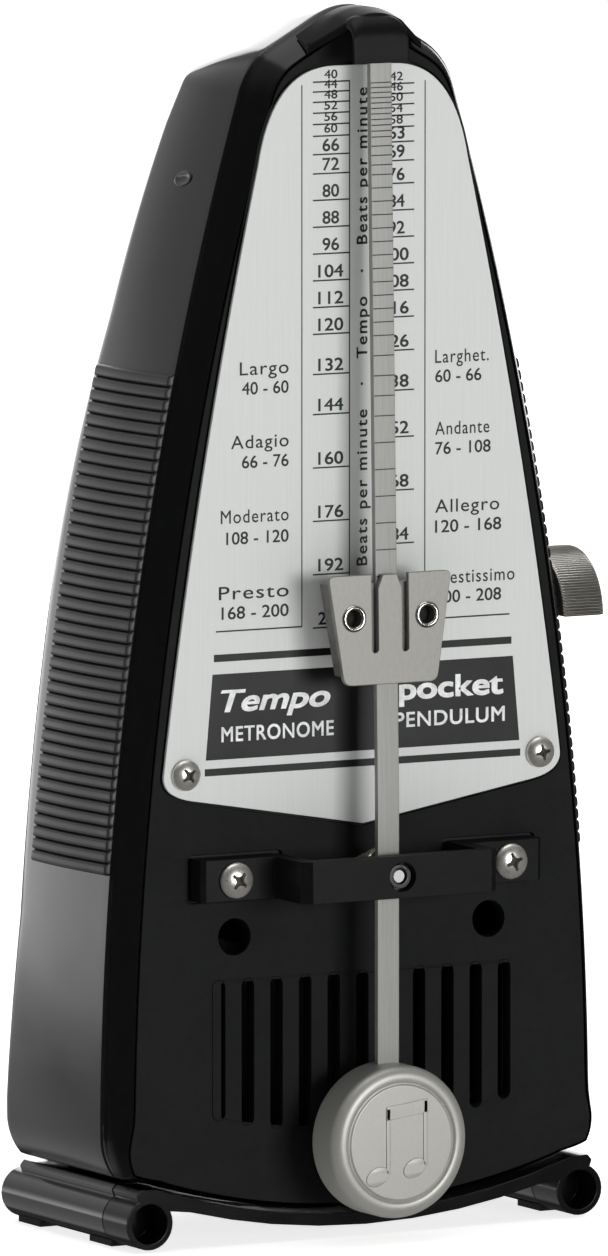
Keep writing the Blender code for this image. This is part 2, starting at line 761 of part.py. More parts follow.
def build_bridge():
    back = 0.45
    wall = BRIDGE_WALL
    inner, outer = BRIDGE_HALF_WIDTH - wall, BRIDGE_HALF_WIDTH
    half = [
        (0, BRIDGE_FRONT_Y),
        (outer - 1.2, BRIDGE_FRONT_Y),
        (outer, BRIDGE_FRONT_Y + 1.2),
        (outer, BRIDGE_FOOT_Y),
        (BRIDGE_FOOT_END - 0.6, BRIDGE_FOOT_Y),
        (BRIDGE_FOOT_END, BRIDGE_FOOT_Y + 0.6),
        (BRIDGE_FOOT_END, back),
        (inner + 1.2, back),
        (inner, back - 1.2),
        (inner, BRIDGE_FRONT_Y + wall + 0.6),
        (inner - 0.6, BRIDGE_FRONT_Y + wall),
        (0, BRIDGE_FRONT_Y + wall),
    ]
    low, high = PIVOT_Z - BRIDGE_HEIGHT / 2, PIVOT_Z + BRIDGE_HEIGHT / 2
    bridge = prism("pendulum_bridge", mirrored(half), "Z", low, high, MATTE_BLACK, ROOT)
    bore(bridge, 1.9, "Y", -14, BRIDGE_FRONT_Y + wall + 1, (0, PIVOT_Z), 24)
    for side, _ in SIDES:
        bore(bridge, 1.3, "Y", -6, 2, (side * BRIDGE_SCREW_X, PIVOT_Z), 12)
    profile = [(1.6, -10.1), (1.6, -8.9), (1.0, -8.9), (1.0, -10.1)]
    turned("bridge_bush", profile, "Y", (0, PIVOT_Z), BRASS, ROOT, 24)


def build_front_screws():
    for side, word in SIDES:
        x, z = side * PLATE_SCREW[0], PLATE_SCREW[1]
        build_screw(f"scale_screw_{word}", x, z, PLATE_FRONT_Y - 0.05, 2.05, 1.2, 4.5, 0.9)
        x = side * BRIDGE_SCREW_X
        build_screw(f"bridge_screw_{word}", x, PIVOT_Z, BRIDGE_FOOT_Y - 0.05, 2.35, 1.3, 8.0, 1.0)


# ------------------------------------------------------------------- pendulum


def rod_front(z):
    """Depth of the rod's front face: upright below, leaning back to the catch above."""
    return ROD_FRONT_Y + math.tan(ROD_LEAN) * max(z - ROD_BEND_Z, 0)


def build_pendulum():
    body = pivot("pendulum_axis", (0, 0, PIVOT_Z))
    low = BOB_Z - 4.0
    front = [(rod_front(z), z) for z in (low, ROD_BEND_Z, ROD_TIP_Z)]
    back = [(y + ROD_THICKNESS, z) for y, z in reversed(front)]
    half = ROD_WIDTH / 2
    rod = prism("pendulum_rod", front + back, "X", -half, half, SATIN_STEEL, body)
    bore(rod, AXLE_RADIUS + 0.25, "Y", -8, -5, (0, PIVOT_Z), 16)
    profile = [
        (0, BOB_FRONT_Y),
        (BOB_FACE_RADIUS - 1.3, BOB_FRONT_Y),
        (BOB_FACE_RADIUS - 0.9, BOB_FRONT_Y + 0.25),
        (BOB_FACE_RADIUS - 0.5, BOB_FRONT_Y),
        (BOB_FACE_RADIUS, BOB_FRONT_Y),
        (BOB_RADIUS - 0.5, BOB_FRONT_Y + 0.5),
        (BOB_RADIUS, BOB_FRONT_Y + 1.5),
        (BOB_RADIUS, BOB_BACK_Y - 0.6),
        (BOB_RADIUS - 0.6, BOB_BACK_Y),
        (0, BOB_BACK_Y),
    ]
    bob = turned("counterweight", profile, "Y", (0, BOB_Z), SATIN_NICKEL, body, 36)
    side = half + GAP
    slot_back = ROD_FRONT_Y + ROD_THICKNESS + GAP
    pocket(bob, (-side, ROD_FRONT_Y - GAP, low - GAP), (side, slot_back, BOB_Z + BOB_RADIUS + 2))
    hub = [(HUB_RADIUS, HUB_FRONT_Y), (HUB_RADIUS, -4.2), (2.2, -3.9), (2.2, HUB_BACK_Y)]
    hub += [(AXLE_RADIUS + 0.25, HUB_BACK_Y), (AXLE_RADIUS + 0.25, HUB_FRONT_Y)]
    turned("pendulum_hub", hub, "Y", (0, PIVOT_Z), BRASS, body, 28)
    axle = cylinder(
        "pendulum_axle", AXLE_RADIUS, "Y", AXLE_FRONT_Y, AXLE_BACK_Y, (0, PIVOT_Z), STEEL, body, 16
    )
    for word, y, tilt in (("front", KEY_Y - CROWN_RADIUS, 1), ("rear", KEY_Y + CROWN_RADIUS, -1)):
        turn = Matrix.Rotation(-math.radians(PALLET_SPREAD_DEG) * tilt, 2)
        corners = [(0.3, -0.2), (PALLET_REACH, -0.2), (PALLET_REACH, 0.2), (0.3, 0.2)]
        spots = [turn @ Vector(c) for c in corners]
        outline = [(p.x, PIVOT_Z + p.y) for p in spots]
        flag = prism(f"pallet_{word}", outline, "Y", y - 0.9, y + 0.9, STEEL, body)
        join(axle, flag)
    return body


def build_tempo_weight():
    """The weight is built upright at the rod's bend and then leant back with the rod."""
    body = pivot("tempo_weight_slide", (0, ROD_FRONT_Y, ROD_BEND_Z))
    body.rotation_euler = (-ROD_LEAN, 0, 0)
    top, low = WEIGHT_TOP_Z, WEIGHT_TOP_Z - WEIGHT_HEIGHT
    bottom_half, top_half = WEIGHT_BOTTOM_HALF, WEIGHT_TOP_HALF
    corners = [(-bottom_half, low), (bottom_half, low), (top_half, top), (-top_half, top)]
    outline = rounded(corners, [1.1, 1.1, 0.9, 0.9], 3)
    face_back = ROD_FRONT_Y - GAP
    front = face_back - WEIGHT_FACE_THICKNESS
    face = prism("tempo_weight_face", outline, "Y", front, face_back, SATIN_NICKEL, body)
    for side, _ in SIDES:
        inner, outer = sorted((side * 1.7, side * 2.7))
        pocket(face, (inner, front - 1, low + 3.7), (outer, face_back + 1, top + 1))
    depth = 3.4
    block_low, block_front = low + 1.0, face_back + GAP
    block = [(-5.9, block_low), (5.9, block_low), (8.0, top - 1.2), (-8.0, top - 1.2)]
    weight = prism("tempo_weight_body", block, "Y", block_front, block_front + depth, CAST_METAL, body)
    half = ROD_WIDTH / 2 + GAP
    pocket(weight, (-half, block_front - 1, low - 2), (half, block_front + ROD_THICKNESS + GAP, top + 2))
    for side, word in SIDES:
        x, z = side * RIVET_X, top - RIVET_DROP
        bore(face, 1.4, "Y", front - 1, face_back + 1, (x, z), 16)
        bore(weight, 1.4, "Y", block_front - 1, block_front + depth + 1, (x, z), 16)
        profile = [(1.7, front - 0.35), (1.7, front - 0.05), (1.1, front - 0.05), (1.1, block_front + 2.4)]
        profile += [(0.85, block_front + 2.4), (0.85, front - 0.15), (1.1, front - 0.35)]
        turned(f"tempo_rivet_{word}", profile, "Y", (x, z), NICKEL, body, 20)


# -------------------------------------------------------------------- winding


def build_winding():
    body = pivot("winding_axis", (0, KEY_Y, KEY_Z))
    flat = -KEY_FLAT_DROP
    grip = arc((KEY_Y, KEY_Z + flat), KEY_RADIUS, 0, 180, 24)
    key = prism("winding_key", grip, "X", KEY_INNER_X, KEY_OUTER_X, SATIN_NICKEL, body)
    bore(key, ARBOR_RADIUS + 0.3, "X", KEY_INNER_X - 1, KEY_OUTER_X - 1.5, (KEY_Y, KEY_Z), 16)
    place = (KEY_Y, KEY_Z)
    low, high = PLATE_LEFT_X - 1.4, KEY_OUTER_X - 2.0
    cylinder("winding_arbor", ARBOR_RADIUS, "X", low, high, place, STEEL, body, 16)
    points = []
    for k in range(RATCHET_TEETH):
        for share, radius in ((0.02, 6.2), (0.3, 5.9), (0.98, 5.0)):
            turn = 2 * math.pi * (k + share) / RATCHET_TEETH
            points.append((KEY_Y + radius * math.cos(turn), KEY_Z + radius * math.sin(turn)))
    high = RATCHET_X + RATCHET_THICKNESS
    wheel = prism("ratchet_wheel", points, "X", RATCHET_X, high, STEEL, body)
    bore(wheel, ARBOR_RADIUS + 0.25, "X", RATCHET_X - 1, high + 1, place, 16)


def build_click():
    """The click drops into the ratchet wheel's teeth and lifts as the key turns."""
    low, place = RATCHET_X, CLICK_PLACE
    body = pivot("click_axis", (low, *place))
    tip = (KEY_Y + 5.75, KEY_Z + 2.75)
    arm = [(place[0] - 0.4, place[1] + 1.7), (tip[0] + 0.9, tip[1] + 1.7), tip]
    arm += [(tip[0] + 1.2, tip[1] - 0.1), (place[0] - 1.0, place[1] - 1.5)]
    arm += [(place[0] + 1.2, place[1] - 1.3), (place[0] + 1.7, place[1] + 0.6)]
    click = prism("click", arm, "X", low, low + RATCHET_THICKNESS, STEEL, body)
    bore(click, 0.85, "X", low - 1, low + 3, place, 12)
    seat = PLATE_RIGHT_X + MOVEMENT_PLATE_THICKNESS + 0.1
    pin = [(0, low + 2.2), (1.3, low + 2.2), (1.3, low + 1.6), (0.6, low + 1.6), (0.6, seat), (0, seat)]
    turned("click_pin", pin, "X", place, STEEL, ROOT, 12)
    offsets = ((-5.8, 6.4), (-3.5, 4.6), (-1.6, 3.4))
    path = [(place[0] + across, place[1] + up) for across, up in offsets]
    path += [(place[0] - 0.2, place[1] + 2.9)]
    strip("click_spring", path, 0.15, "X", low + 0.1, low + 1.1, STEEL, ROOT)


# ------------------------------------------------------------------- movement


def build_barrel():
    body = pivot("barrel_axis", (0, KEY_Y, KEY_Z))
    low, high, radius, wall = BARREL_LEFT_X, BARREL_RIGHT_X, BARREL_RADIUS, BARREL_WALL
    hole = ARBOR_RADIUS + GAP
    place = (KEY_Y, KEY_Z)
    profile = [(radius, low), (radius, high), (hole, high), (hole, high - 1.1)]
    profile += [(radius - wall, high - 1.1), (radius - wall, low)]
    drum = turned("mainspring_barrel", profile, "X", place, BRASS, body, 32)
    teeth = gear_outline(GREAT_TEETH, KEY_Z, -90)
    rim = prism("great_wheel_teeth", teeth, "X", high - 1.4, high, BRASS, body)
    bore(rim, radius - wall / 2, "X", high - 3, high + 2, place, 32)
    join(drum, rim)
    lid = [(radius - 0.2, low - 0.9), (radius - 0.2, low - GAP), (hole, low - GAP), (hole, low - 0.9)]
    turned("barrel_lid", lid, "X", place, BRASS, body, 32)
    turns, inner, outer, steps = 4.0, 2.6, radius - wall - 0.7, 56
    path = []
    for k in range(steps + 1):
        share = k / steps
        angle = 2 * math.pi * turns * share
        reach = inner + (outer - inner) * share
        path.append((KEY_Y + reach * math.cos(angle), KEY_Z + reach * math.sin(angle)))
    strip("mainspring", path, 0.2, "X", low + 0.4, high - 1.5, STEEL, body)


def build_wheel(name, teeth, z, low, high, body):
    wheel = prism(name, gear_outline(teeth, z, -90), "X", low, high, BRASS, body)
    bore(wheel, WHEEL_BORE_RADIUS, "X", low - 1, high + 1, (KEY_Y, z), 16)


def build_arbor(name, teeth, z, leaves, ends, body):
    """A pinion and its arbor, cut from one bar, with a gap between two leaves at the top."""
    arbor = cylinder(name, WHEEL_ARBOR_RADIUS, "X", *ends, (KEY_Y, z), STEEL, body, 12)
    outline = gear_outline(teeth, z, 90 + 180.0 / teeth)
    join(arbor, prism(f"{name}_leaves", outline, "X", *leaves, STEEL, body))


def build_train():
    """Barrel, second wheel, third wheel and crown wheel mesh one below another."""
    left, right = PLATE_LEFT_X - 0.2, PLATE_RIGHT_X + MOVEMENT_PLATE_THICKNESS + 0.2
    second = pivot("second_wheel_axis", (0, KEY_Y, SECOND_Z))
    build_arbor("second_arbor", SECOND_PINION_TEETH, SECOND_Z, (2.6, 5.0), (left, right), second)
    build_wheel("second_wheel", SECOND_TEETH, SECOND_Z, 7.8, 9.0, second)
    third = pivot("third_wheel_axis", (0, KEY_Y, THIRD_Z))
    build_arbor("third_arbor", THIRD_PINION_TEETH, THIRD_Z, (7.4, 9.4), (left, right), third)
    build_wheel("third_wheel", THIRD_TEETH, THIRD_Z, 5.6, 6.8, third)
    crown = pivot("crown_wheel_axis", (0, KEY_Y, PIVOT_Z))
    inner = CROWN_TIP_X + 0.2
    build_arbor("crown_arbor", CROWN_PINION_TEETH, PIVOT_Z, (5.2, 7.2), (inner, right), crown)
    build_crown_wheel(crown)


def build_crown_wheel(body):
    """Pointed teeth stand out of the rim, towards the pendulum's axle."""
    back, web = CROWN_TIP_X + 2.3, CROWN_TIP_X + 1.6
    root = CROWN_TIP_X + 1.5
    outer, inner, hole = CROWN_RADIUS + 0.45, CROWN_RADIUS - 0.45, WHEEL_BORE_RADIUS
    offset = math.sin(math.radians(PALLET_SPREAD_DEG - REST_SWING_DEG)) * PALLET_REACH
    gap_angle = math.asin(offset / CROWN_RADIUS)
    step = 2 * math.pi / CROWN_TEETH
    sections = []
    for k in range(CROWN_TEETH):
        for share, height in ((0.0, root), (0.3, root), (0.46, CROWN_TIP_X), (0.7, root)):
            turn = gap_angle - 0.1 * step + (k + share) * step
            across, up = math.cos(turn), math.sin(turn)
            ring = [(hole, back), (hole, web), (inner, web), (inner, height), (outer, height), (outer, back)]
            sections.append([(x, KEY_Y + r * across, PIVOT_Z + r * up) for r, x in ring])
    swept_ring("crown_wheel", sections, BRASS, body)


def build_movement_frame():
    low_y, high_y = MOVEMENT_FRONT_Y, MOVEMENT_BACK_Y
    low_z, high_z = MOVEMENT_BOTTOM_Z, MOVEMENT_TOP_Z
    corners = [(low_y, low_z), (high_y, low_z), (high_y, high_z), (low_y, high_z)]
    arbors = ((KEY_Z, ARBOR_RADIUS + 0.25), (SECOND_Z, WHEEL_BORE_RADIUS), (THIRD_Z, WHEEL_BORE_RADIUS))
    for word, x in (("left", PLATE_LEFT_X), ("right", PLATE_RIGHT_X)):
        high = x + MOVEMENT_PLATE_THICKNESS
        plate = prism(f"movement_plate_{word}", rounded(corners, 2.0, 3), "X", x, high, BRASS, ROOT)
        for z, radius in arbors:
            bore(plate, radius, "X", x - 1, high + 1, (KEY_Y, z), 16)
        for place in PILLAR_PLACES:
            bore(plate, 0.9, "X", x - 1, high + 1, place, 10)
        if word == "right":
            bore(plate, 1.2, "X", x - 1, high + 1, (KEY_Y, PIVOT_Z), 16)
    low, high = PLATE_LEFT_X + MOVEMENT_PLATE_THICKNESS + 0.1, PLATE_RIGHT_X - 0.1
    face = PLATE_RIGHT_X + MOVEMENT_PLATE_THICKNESS + 0.1
    shank = 0.65
    for k, place in enumerate(PILLAR_PLACES, 1):
        pillar = cylinder(f"pillar_{k}", 1.3, "X", low, high, place, BRASS, ROOT, 12)
        stud = cylinder(f"pillar_{k}_stud", shank, "X", PLATE_LEFT_X - 0.4, low + 2, place, BRASS, ROOT, 10)
        join(pillar, stud)
        bore(pillar, 0.9, "X", high - 4, high + 1, place, 10)
        profile = [(0, high - 3), (shank, high - 3), (shank, face), (1.6, face)]
        profile += [(1.6, face + 0.7), (0, face + 0.7)]
        turned(f"pillar_screw_{k}", profile, "X", place, STEEL, ROOT, 14)
    cock = box("axle_cock", (low, 24.6, PIVOT_Z - 3), (3.0, 26.2, PIVOT_Z + 3), BRASS, ROOT)
    bore(cock, AXLE_RADIUS + 0.2, "Y", 23, 28, (0, PIVOT_Z), 16)
    potence = box("crown_potence", (8.2, 10.2, 44.0), (9.4, 18.8, 52.4), BRASS, ROOT)
    bore(potence, 1.2, "X", 7, 11, (KEY_Y, PIVOT_Z), 16)


def build_housing_screws():
    seat = back_y(HOUSING_SCREW_Z) + 0.1
    tip = 6.0
    for side, word in SIDES:
        x = side * HOUSING_SCREW_X
        profile = [(0, seat + 0.8), (1.5, seat + 0.65), (2.1, seat), (0.9, seat), (0.9, tip), (0, tip)]
        turned(f"housing_screw_{word}", profile, "Y", (x, HOUSING_SCREW_Z), STEEL, ROOT, 16)


def build_key_collar():
    """A flanged bush where the winding arbor comes out of the well in the casing's side."""
    outer, hole, seat = KEY_COLLAR_RADIUS, ARBOR_RADIUS + 0.25, KEY_WELL_X + 0.25
    profile = [(outer, seat), (outer - 0.2, seat + 0.35), (hole, seat + 0.35)]
    profile += [(hole, 31.0), (1.8, 31.0), (1.8, seat)]
    turned("key_collar", profile, "X", (KEY_Y, KEY_Z), MATTE_BLACK, ROOT, 32)


clear_scene()
PARTS = new_collection("metronome")
CUTTERS = new_collection("metronome_cutters")

GLOSS_BLACK = new_material("gloss_black_plastic", (0.012, 0.012, 0.013), 0.16)
MATTE_BLACK = new_material("matte_black_plastic", (0.022, 0.022, 0.023), 0.55)
ALUMINIUM = new_material("brushed_aluminium", (0.78, 0.78, 0.77), 0.38, 1.0)
SATIN_STEEL = new_material("satin_steel", (0.55, 0.55, 0.53), 0.34, 1.0)
SATIN_NICKEL = new_material("satin_nickel", (0.60, 0.59, 0.55), 0.40, 1.0)
NICKEL = new_material("bright_nickel", (0.75, 0.73, 0.68), 0.18, 1.0)
CAST_METAL = new_material("cast_zinc", (0.16, 0.15, 0.14), 0.6, 1.0)
BRASS = new_material("brass", (0.72, 0.55, 0.28), 0.3, 1.0)
STEEL = new_material("steel", (0.5, 0.5, 0.5), 0.35, 1.0)
RUBBER = new_material("rubber", (0.02, 0.02, 0.02), 0.9)

ROOT = new_empty("metronome_root", (-sum(FOOTPRINT_X) / 2, -sum(FOOTPRINT_Y) / 2, 0))

build_housing()
build_base()
build_front_frame()
build_front_panel()
build_rod_catch()
build_scale_plate()
build_bridge()
build_front_screws()
build_pendulum()
build_tempo_weight()
build_key_collar()
build_winding()
build_click()
build_barrel()
build_train()
build_movement_frame()
build_housing_screws()
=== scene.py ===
import json
import math

import bmesh
import bpy
from mathutils import Matrix, Vector

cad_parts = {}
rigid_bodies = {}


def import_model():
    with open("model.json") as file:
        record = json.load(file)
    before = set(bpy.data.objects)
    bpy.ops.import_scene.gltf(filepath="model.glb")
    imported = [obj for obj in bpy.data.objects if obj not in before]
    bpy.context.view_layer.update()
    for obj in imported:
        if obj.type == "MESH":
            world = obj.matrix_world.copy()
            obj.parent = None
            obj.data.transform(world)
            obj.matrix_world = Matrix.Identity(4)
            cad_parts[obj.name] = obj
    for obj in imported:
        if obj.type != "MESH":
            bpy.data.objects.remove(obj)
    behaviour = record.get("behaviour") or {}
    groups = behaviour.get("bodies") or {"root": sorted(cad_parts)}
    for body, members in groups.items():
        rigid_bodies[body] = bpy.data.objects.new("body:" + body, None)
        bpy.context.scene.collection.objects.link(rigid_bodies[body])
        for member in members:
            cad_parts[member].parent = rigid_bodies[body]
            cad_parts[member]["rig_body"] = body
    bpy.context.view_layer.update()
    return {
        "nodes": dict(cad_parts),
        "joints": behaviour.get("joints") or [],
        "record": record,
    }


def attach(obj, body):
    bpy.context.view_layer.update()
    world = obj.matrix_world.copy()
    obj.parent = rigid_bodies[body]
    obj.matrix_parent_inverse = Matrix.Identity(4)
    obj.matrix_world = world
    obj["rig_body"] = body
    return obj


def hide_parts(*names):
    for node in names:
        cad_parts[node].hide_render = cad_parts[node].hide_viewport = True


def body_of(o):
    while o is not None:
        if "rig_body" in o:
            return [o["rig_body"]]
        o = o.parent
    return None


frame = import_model()

# Lengths below are in millimetres in the working frame of the CAD: X = 0 is the plane of symmetry,
# Y = 0 the face of the front panel, Z = 0 the surface that the metronome stands on.
MM = 0.001
JOINTS = {joint["name"]: joint for joint in frame["joints"]}
SWING = JOINTS["pendulum_swing"]["pos_m"]
ORIGIN = Vector((SWING[0], SWING[1], 0.0))

SIDE_HALF_WIDTH = 36.15
SIDE_ARC_RADIUS = 475.0
SIDE_ARC_Z = 11.0
SIDE_BULGE = 0.88
BODY_TOP_Z = 160.0
SHELL_FRONT_Y = 4.5
SHELL_WALL = 1.8
FRAME_WIDTH = 2.4
FRAME_DEPTH = 4.2
BACK_Y = 32.0
HOOD_HALF_WIDTH = 8.4
HOOD_FLAT = 4.0
HOOD_ROOT_Y = -0.3
TONGUE_LEFT_X = -4.3
TONGUE_RIGHT_X = 3.7
TONGUE_ROOT_Y = -2.6
TONGUE_EDGE_Z = 153.0
RIB_COUNT = 41
RIB_BOTTOM_Z = 48.6
RIB_TOP_Z = 113.0
RIB_BACK_Y = 23.8
RIB_HEIGHT = 0.85
KEY_PLACE = (14.5, 83.0)
KEY_WELL_X = 32.3
KEY_WELL_RADIUS = 9.9
KEY_INNER_X = 33.6
KEY_OUTER_X = 39.8
KEY_RADIUS = 8.45
KEY_FLAT_Z = 78.3
KEY_RIDGES = 66
KEY_RIDGE_DEPTH = 0.3
SLOT_PITCH = 4.24
SLOT_TOP_Z = 34.65
SLOT_WIDTH = 1.93
SOUND_HOLE = (18.9, 40.2)
SOUND_HOLE_RADIUS = 2.38
PLATE_FRONT_Y = -0.3
PLATE_APEX_Z = 53.9
PLATE_TOP_Z = 152.5
PLATE_SCREW = (26.3, 61.7)
SCALE_LINE_X = 2.08
SCALE_RAIL_X = 9.12
INK_THICKNESS = 0.012
BRIDGE_SCREW_X = 20.4
PIVOT_Z = 48.0
ROD_FRONT_Y = -7.0
ROD_TIP_FRONT_Y = -4.75
ROD_BEND_Z = 58.0
ROD_TIP_Z = 155.9
ROD_LEAN = math.atan((ROD_TIP_FRONT_Y - ROD_FRONT_Y) / (ROD_TIP_Z - ROD_BEND_Z))
BOB_Z = 13.35
BOB_FRONT_Y = -10.6
BOB_BACK_Y = -4.1
BOB_RADIUS = 10.0
WEIGHT_TOP_Z = 87.1
WEIGHT_LOW_Z = 72.8
WEIGHT_FRONT_Y = -8.0
RIVET_X = 5.4
RIVET_Z = 81.5
SIDES = ((-1, "left"), (1, "right"))


def at(x, y, z):
    return ORIGIN + Vector((x, y, z)) * MM


# ------------------------------------------------------------------ materials


def shader_nodes(name, base, roughness, metallic=0.0, coat=0.0):
    made = bpy.data.materials.new(name)
    made.use_nodes = True
    shader = made.node_tree.nodes["Principled BSDF"]
    shader.inputs["Base Color"].default_value = (*base, 1)
    shader.inputs["Roughness"].default_value = roughness
    shader.inputs["Metallic"].default_value = metallic
    if coat:
        shader.inputs["Coat Weight"].default_value = coat
        shader.inputs["Coat Roughness"].default_value = 0.06
    return made, made.node_tree, shader


def object_noise(tree, scale, stretch=(1, 1, 1), detail=3.0, roughness=0.55):
    """Noise in the object's own metres, drawn out along an axis where the stretch is small."""
    coord = tree.nodes.new("ShaderNodeTexCoord")
    mapping = tree.nodes.new("ShaderNodeMapping")
    noise = tree.nodes.new("ShaderNodeTexNoise")
    mapping.inputs["Scale"].default_value = stretch
    noise.inputs["Scale"].default_value = scale
    noise.inputs["Detail"].default_value = detail
    noise.inputs["Roughness"].default_value = roughness
    tree.links.new(coord.outputs["Object"], mapping.inputs["Vector"])
    tree.links.new(mapping.outputs["Vector"], noise.inputs["Vector"])
    return noise.outputs["Fac"]


def remap(tree, value, low, high, start=0.3, end=0.7):
    node = tree.nodes.new("ShaderNodeMapRange")
    node.inputs["From Min"].default_value = start
    node.inputs["From Max"].default_value = end
    node.inputs["To Min"].default_value = low
    node.inputs["To Max"].default_value = high
    tree.links.new(value, node.inputs["Value"])
    return node.outputs["Result"]


def tinted(tree, value, dark, light):
    ramp = tree.nodes.new("ShaderNodeValToRGB")
    ramp.color_ramp.elements[0].position = 0.3
    ramp.color_ramp.elements[1].position = 0.7
    ramp.color_ramp.elements[0].color = (*dark, 1)
    ramp.color_ramp.elements[1].color = (*light, 1)
    tree.links.new(value, ramp.inputs["Fac"])
    return ramp.outputs["Color"]


def bumped(tree, shader, value, strength, distance):
    bump = tree.nodes.new("ShaderNodeBump")
    bump.inputs["Strength"].default_value = strength
    bump.inputs["Distance"].default_value = distance * MM
    tree.links.new(value, bump.inputs["Height"])
    tree.links.new(bump.outputs["Normal"], shader.inputs["Normal"])


def plastic(name, base, low_rough, high_rough, grain_scale, grain_strength, coat=0.0, sheen=0.5):
    made, tree, shader = shader_nodes(name, base, low_rough, coat=coat)
    shader.inputs["Specular IOR Level"].default_value = sheen
    broad = object_noise(tree, 90, detail=4)
    tree.links.new(remap(tree, broad, low_rough, high_rough), shader.inputs["Roughness"])
    darker = tuple(c * 0.8 for c in base)
    lighter = tuple(c * 1.2 for c in base)
    speck = object_noise(tree, 900, detail=5)
    tree.links.new(tinted(tree, speck, darker, lighter), shader.inputs["Base Color"])
    grain = object_noise(tree, grain_scale, detail=2)
    bumped(tree, shader, grain, grain_strength, 0.02)
    return made


def metal(name, base, low_rough, high_rough, stretch, scale, strength, spread=0.07, metallic=1.0, lift=0.0):
    made, tree, shader = shader_nodes(name, base, low_rough, metallic)
    grain = object_noise(tree, scale, stretch, detail=4, roughness=0.65)
    tree.links.new(remap(tree, grain, low_rough, high_rough), shader.inputs["Roughness"])
    darker = tuple(c * (1 - spread) for c in base)
    lighter = tuple(min(1, c * (1 + spread)) for c in base)
    tree.links.new(tinted(tree, grain, darker, lighter), shader.inputs["Base Color"])
    bumped(tree, shader, grain, strength, 0.01)
    return made


GLOSS_BLACK = plastic("gloss_black", (0.0075, 0.0078, 0.0082), 0.1, 0.17, 700, 0.02, coat=0.15)
# A darker, less reflective copy of the gloss black for the front band and the base front: painted shade
# standing in for the dark reflections on these faces.
SHADED_BAND_BLACK = plastic("gloss_black_band_painted_shade", (0.004, 0.0042, 0.0044), 0.14, 0.2, 700, 0.02, sheen=0.3)
RIB_BLACK = plastic("gloss_black_ribs", (0.011, 0.0113, 0.0117), 0.3, 0.38, 1500, 0.1)
MATTE_BLACK = plastic("matte_black", (0.0055, 0.006, 0.006), 0.62, 0.7, 5200, 0.3, sheen=0.25)
FITTING_BLACK = plastic("matte_black_fitting", (0.005, 0.0053, 0.0055), 0.4, 0.46, 4200, 0.12, sheen=0.16)
# Near-black for the insides of holes, slots and recess floors: painted shade.
SHADE_BLACK = plastic("painted_shade_black", (0.003, 0.003, 0.003), 0.6, 0.7, 2000, 0.05)
ALUMINIUM = metal("scale_aluminium", (0.645, 0.66, 0.645), 0.5, 0.58, (1, 1, 0.012), 6500, 0.2, 0.04, 0.3)
ROD_STEEL = metal("satin_steel", (0.315, 0.317, 0.302), 0.4, 0.5, (1, 1, 0.02), 5200, 0.2, 0.12, 0.5)
SATIN_NICKEL = metal("satin_nickel", (0.50, 0.495, 0.46), 0.4, 0.48, (1, 1, 1), 2600, 0.2, 0.04, 0.6)
WEIGHT_NICKEL = metal("weight_nickel", (0.285, 0.281, 0.26), 0.34, 0.42, (1, 1, 0.5), 2200, 0.1, 0.08, 0.6)
KEY_NICKEL = metal("key_nickel", (0.46, 0.446, 0.414), 0.3, 0.4, (0.1, 1, 1), 2600, 0.15, 0.08, 0.95)
BRIGHT_NICKEL = metal("bright_nickel", (0.74, 0.72, 0.67), 0.14, 0.22, (1, 1, 1), 1800, 0.08, 0.05)
SCREW_NICKEL = metal("screw_nickel", (0.8, 0.78, 0.72), 0.26, 0.34, (1, 1, 1), 1800, 0.05, 0.05, 0.85)
CAST_ZINC = metal("cast_zinc", (0.23, 0.22, 0.21), 0.42, 0.6, (1, 1, 1), 1500, 0.6, 0.25, 0.7)
# Dark colour for the floor of the screws' cross recesses: painted shade, since the heads are bright nickel
# throughout.
RECESS_SHADE = metal("recess_painted_shade", (0.085, 0.075, 0.06), 0.45, 0.6, (1, 1, 1), 1800, 0.3, 0.2, 0.8)
WARM_NICKEL = metal("warm_nickel", (0.66, 0.6, 0.47), 0.24, 0.32, (1, 1, 1), 1800, 0.05, 0.06, 0.8)
DARK_STEEL = metal("dark_steel", (0.06, 0.06, 0.06), 0.28, 0.36, (1, 1, 1), 1800, 0.05, 0.1, 0.8)
BRASS = metal("brass", (0.7, 0.52, 0.24), 0.22, 0.34, (1, 1, 1), 1900, 0.1, 0.06)
STEEL = metal("steel", (0.5, 0.5, 0.5), 0.3, 0.42, (0.2, 1, 1), 2400, 0.12, 0.08)
RUBBER = plastic("rubber", (0.012, 0.012, 0.012), 0.8, 0.9, 3000, 0.4)
PRINT_BLACK = plastic("print_black", (0.006, 0.006, 0.0065), 0.4, 0.5, 4000, 0.05)
PRINT_WHITE = plastic("print_white", (0.72, 0.73, 0.72), 0.45, 0.55, 4000, 0.05)
# Dark grey for the rod's engraved graduation lines: painted shade of the grooves.
GROOVE_SHADE = plastic("engraved_line_painted_shade", (0.03, 0.03, 0.028), 0.55, 0.7, 3000, 0.1)


# -------------------------------------------------------------- mesh building


def piece(name, mesh, material, body, slot, *replaced, sharp=35.0):
    obj = bpy.data.objects.new(name, mesh)
    bpy.context.scene.collection.objects.link(obj)
    mesh.materials.clear()
    mesh.materials.append(material)
    mesh.shade_smooth()
    mesh.set_sharp_from_angle(angle=math.radians(sharp))
    add_flat_shading(obj)
    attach(obj, body)
    if replaced:
        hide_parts(*replaced)
    return obj


def mesh_from(shape, name="shape", recalculate=True):
    if recalculate:
        bmesh.ops.recalc_face_normals(shape, faces=shape.faces)
    mesh = bpy.data.meshes.new(name)
    shape.to_mesh(mesh)
    shape.free()
    return mesh


def evaluated_mesh(obj, name):
    bpy.context.view_layer.update()
    graph = bpy.context.evaluated_depsgraph_get()
    return bpy.data.meshes.new_from_object(obj.evaluated_get(graph), depsgraph=graph)


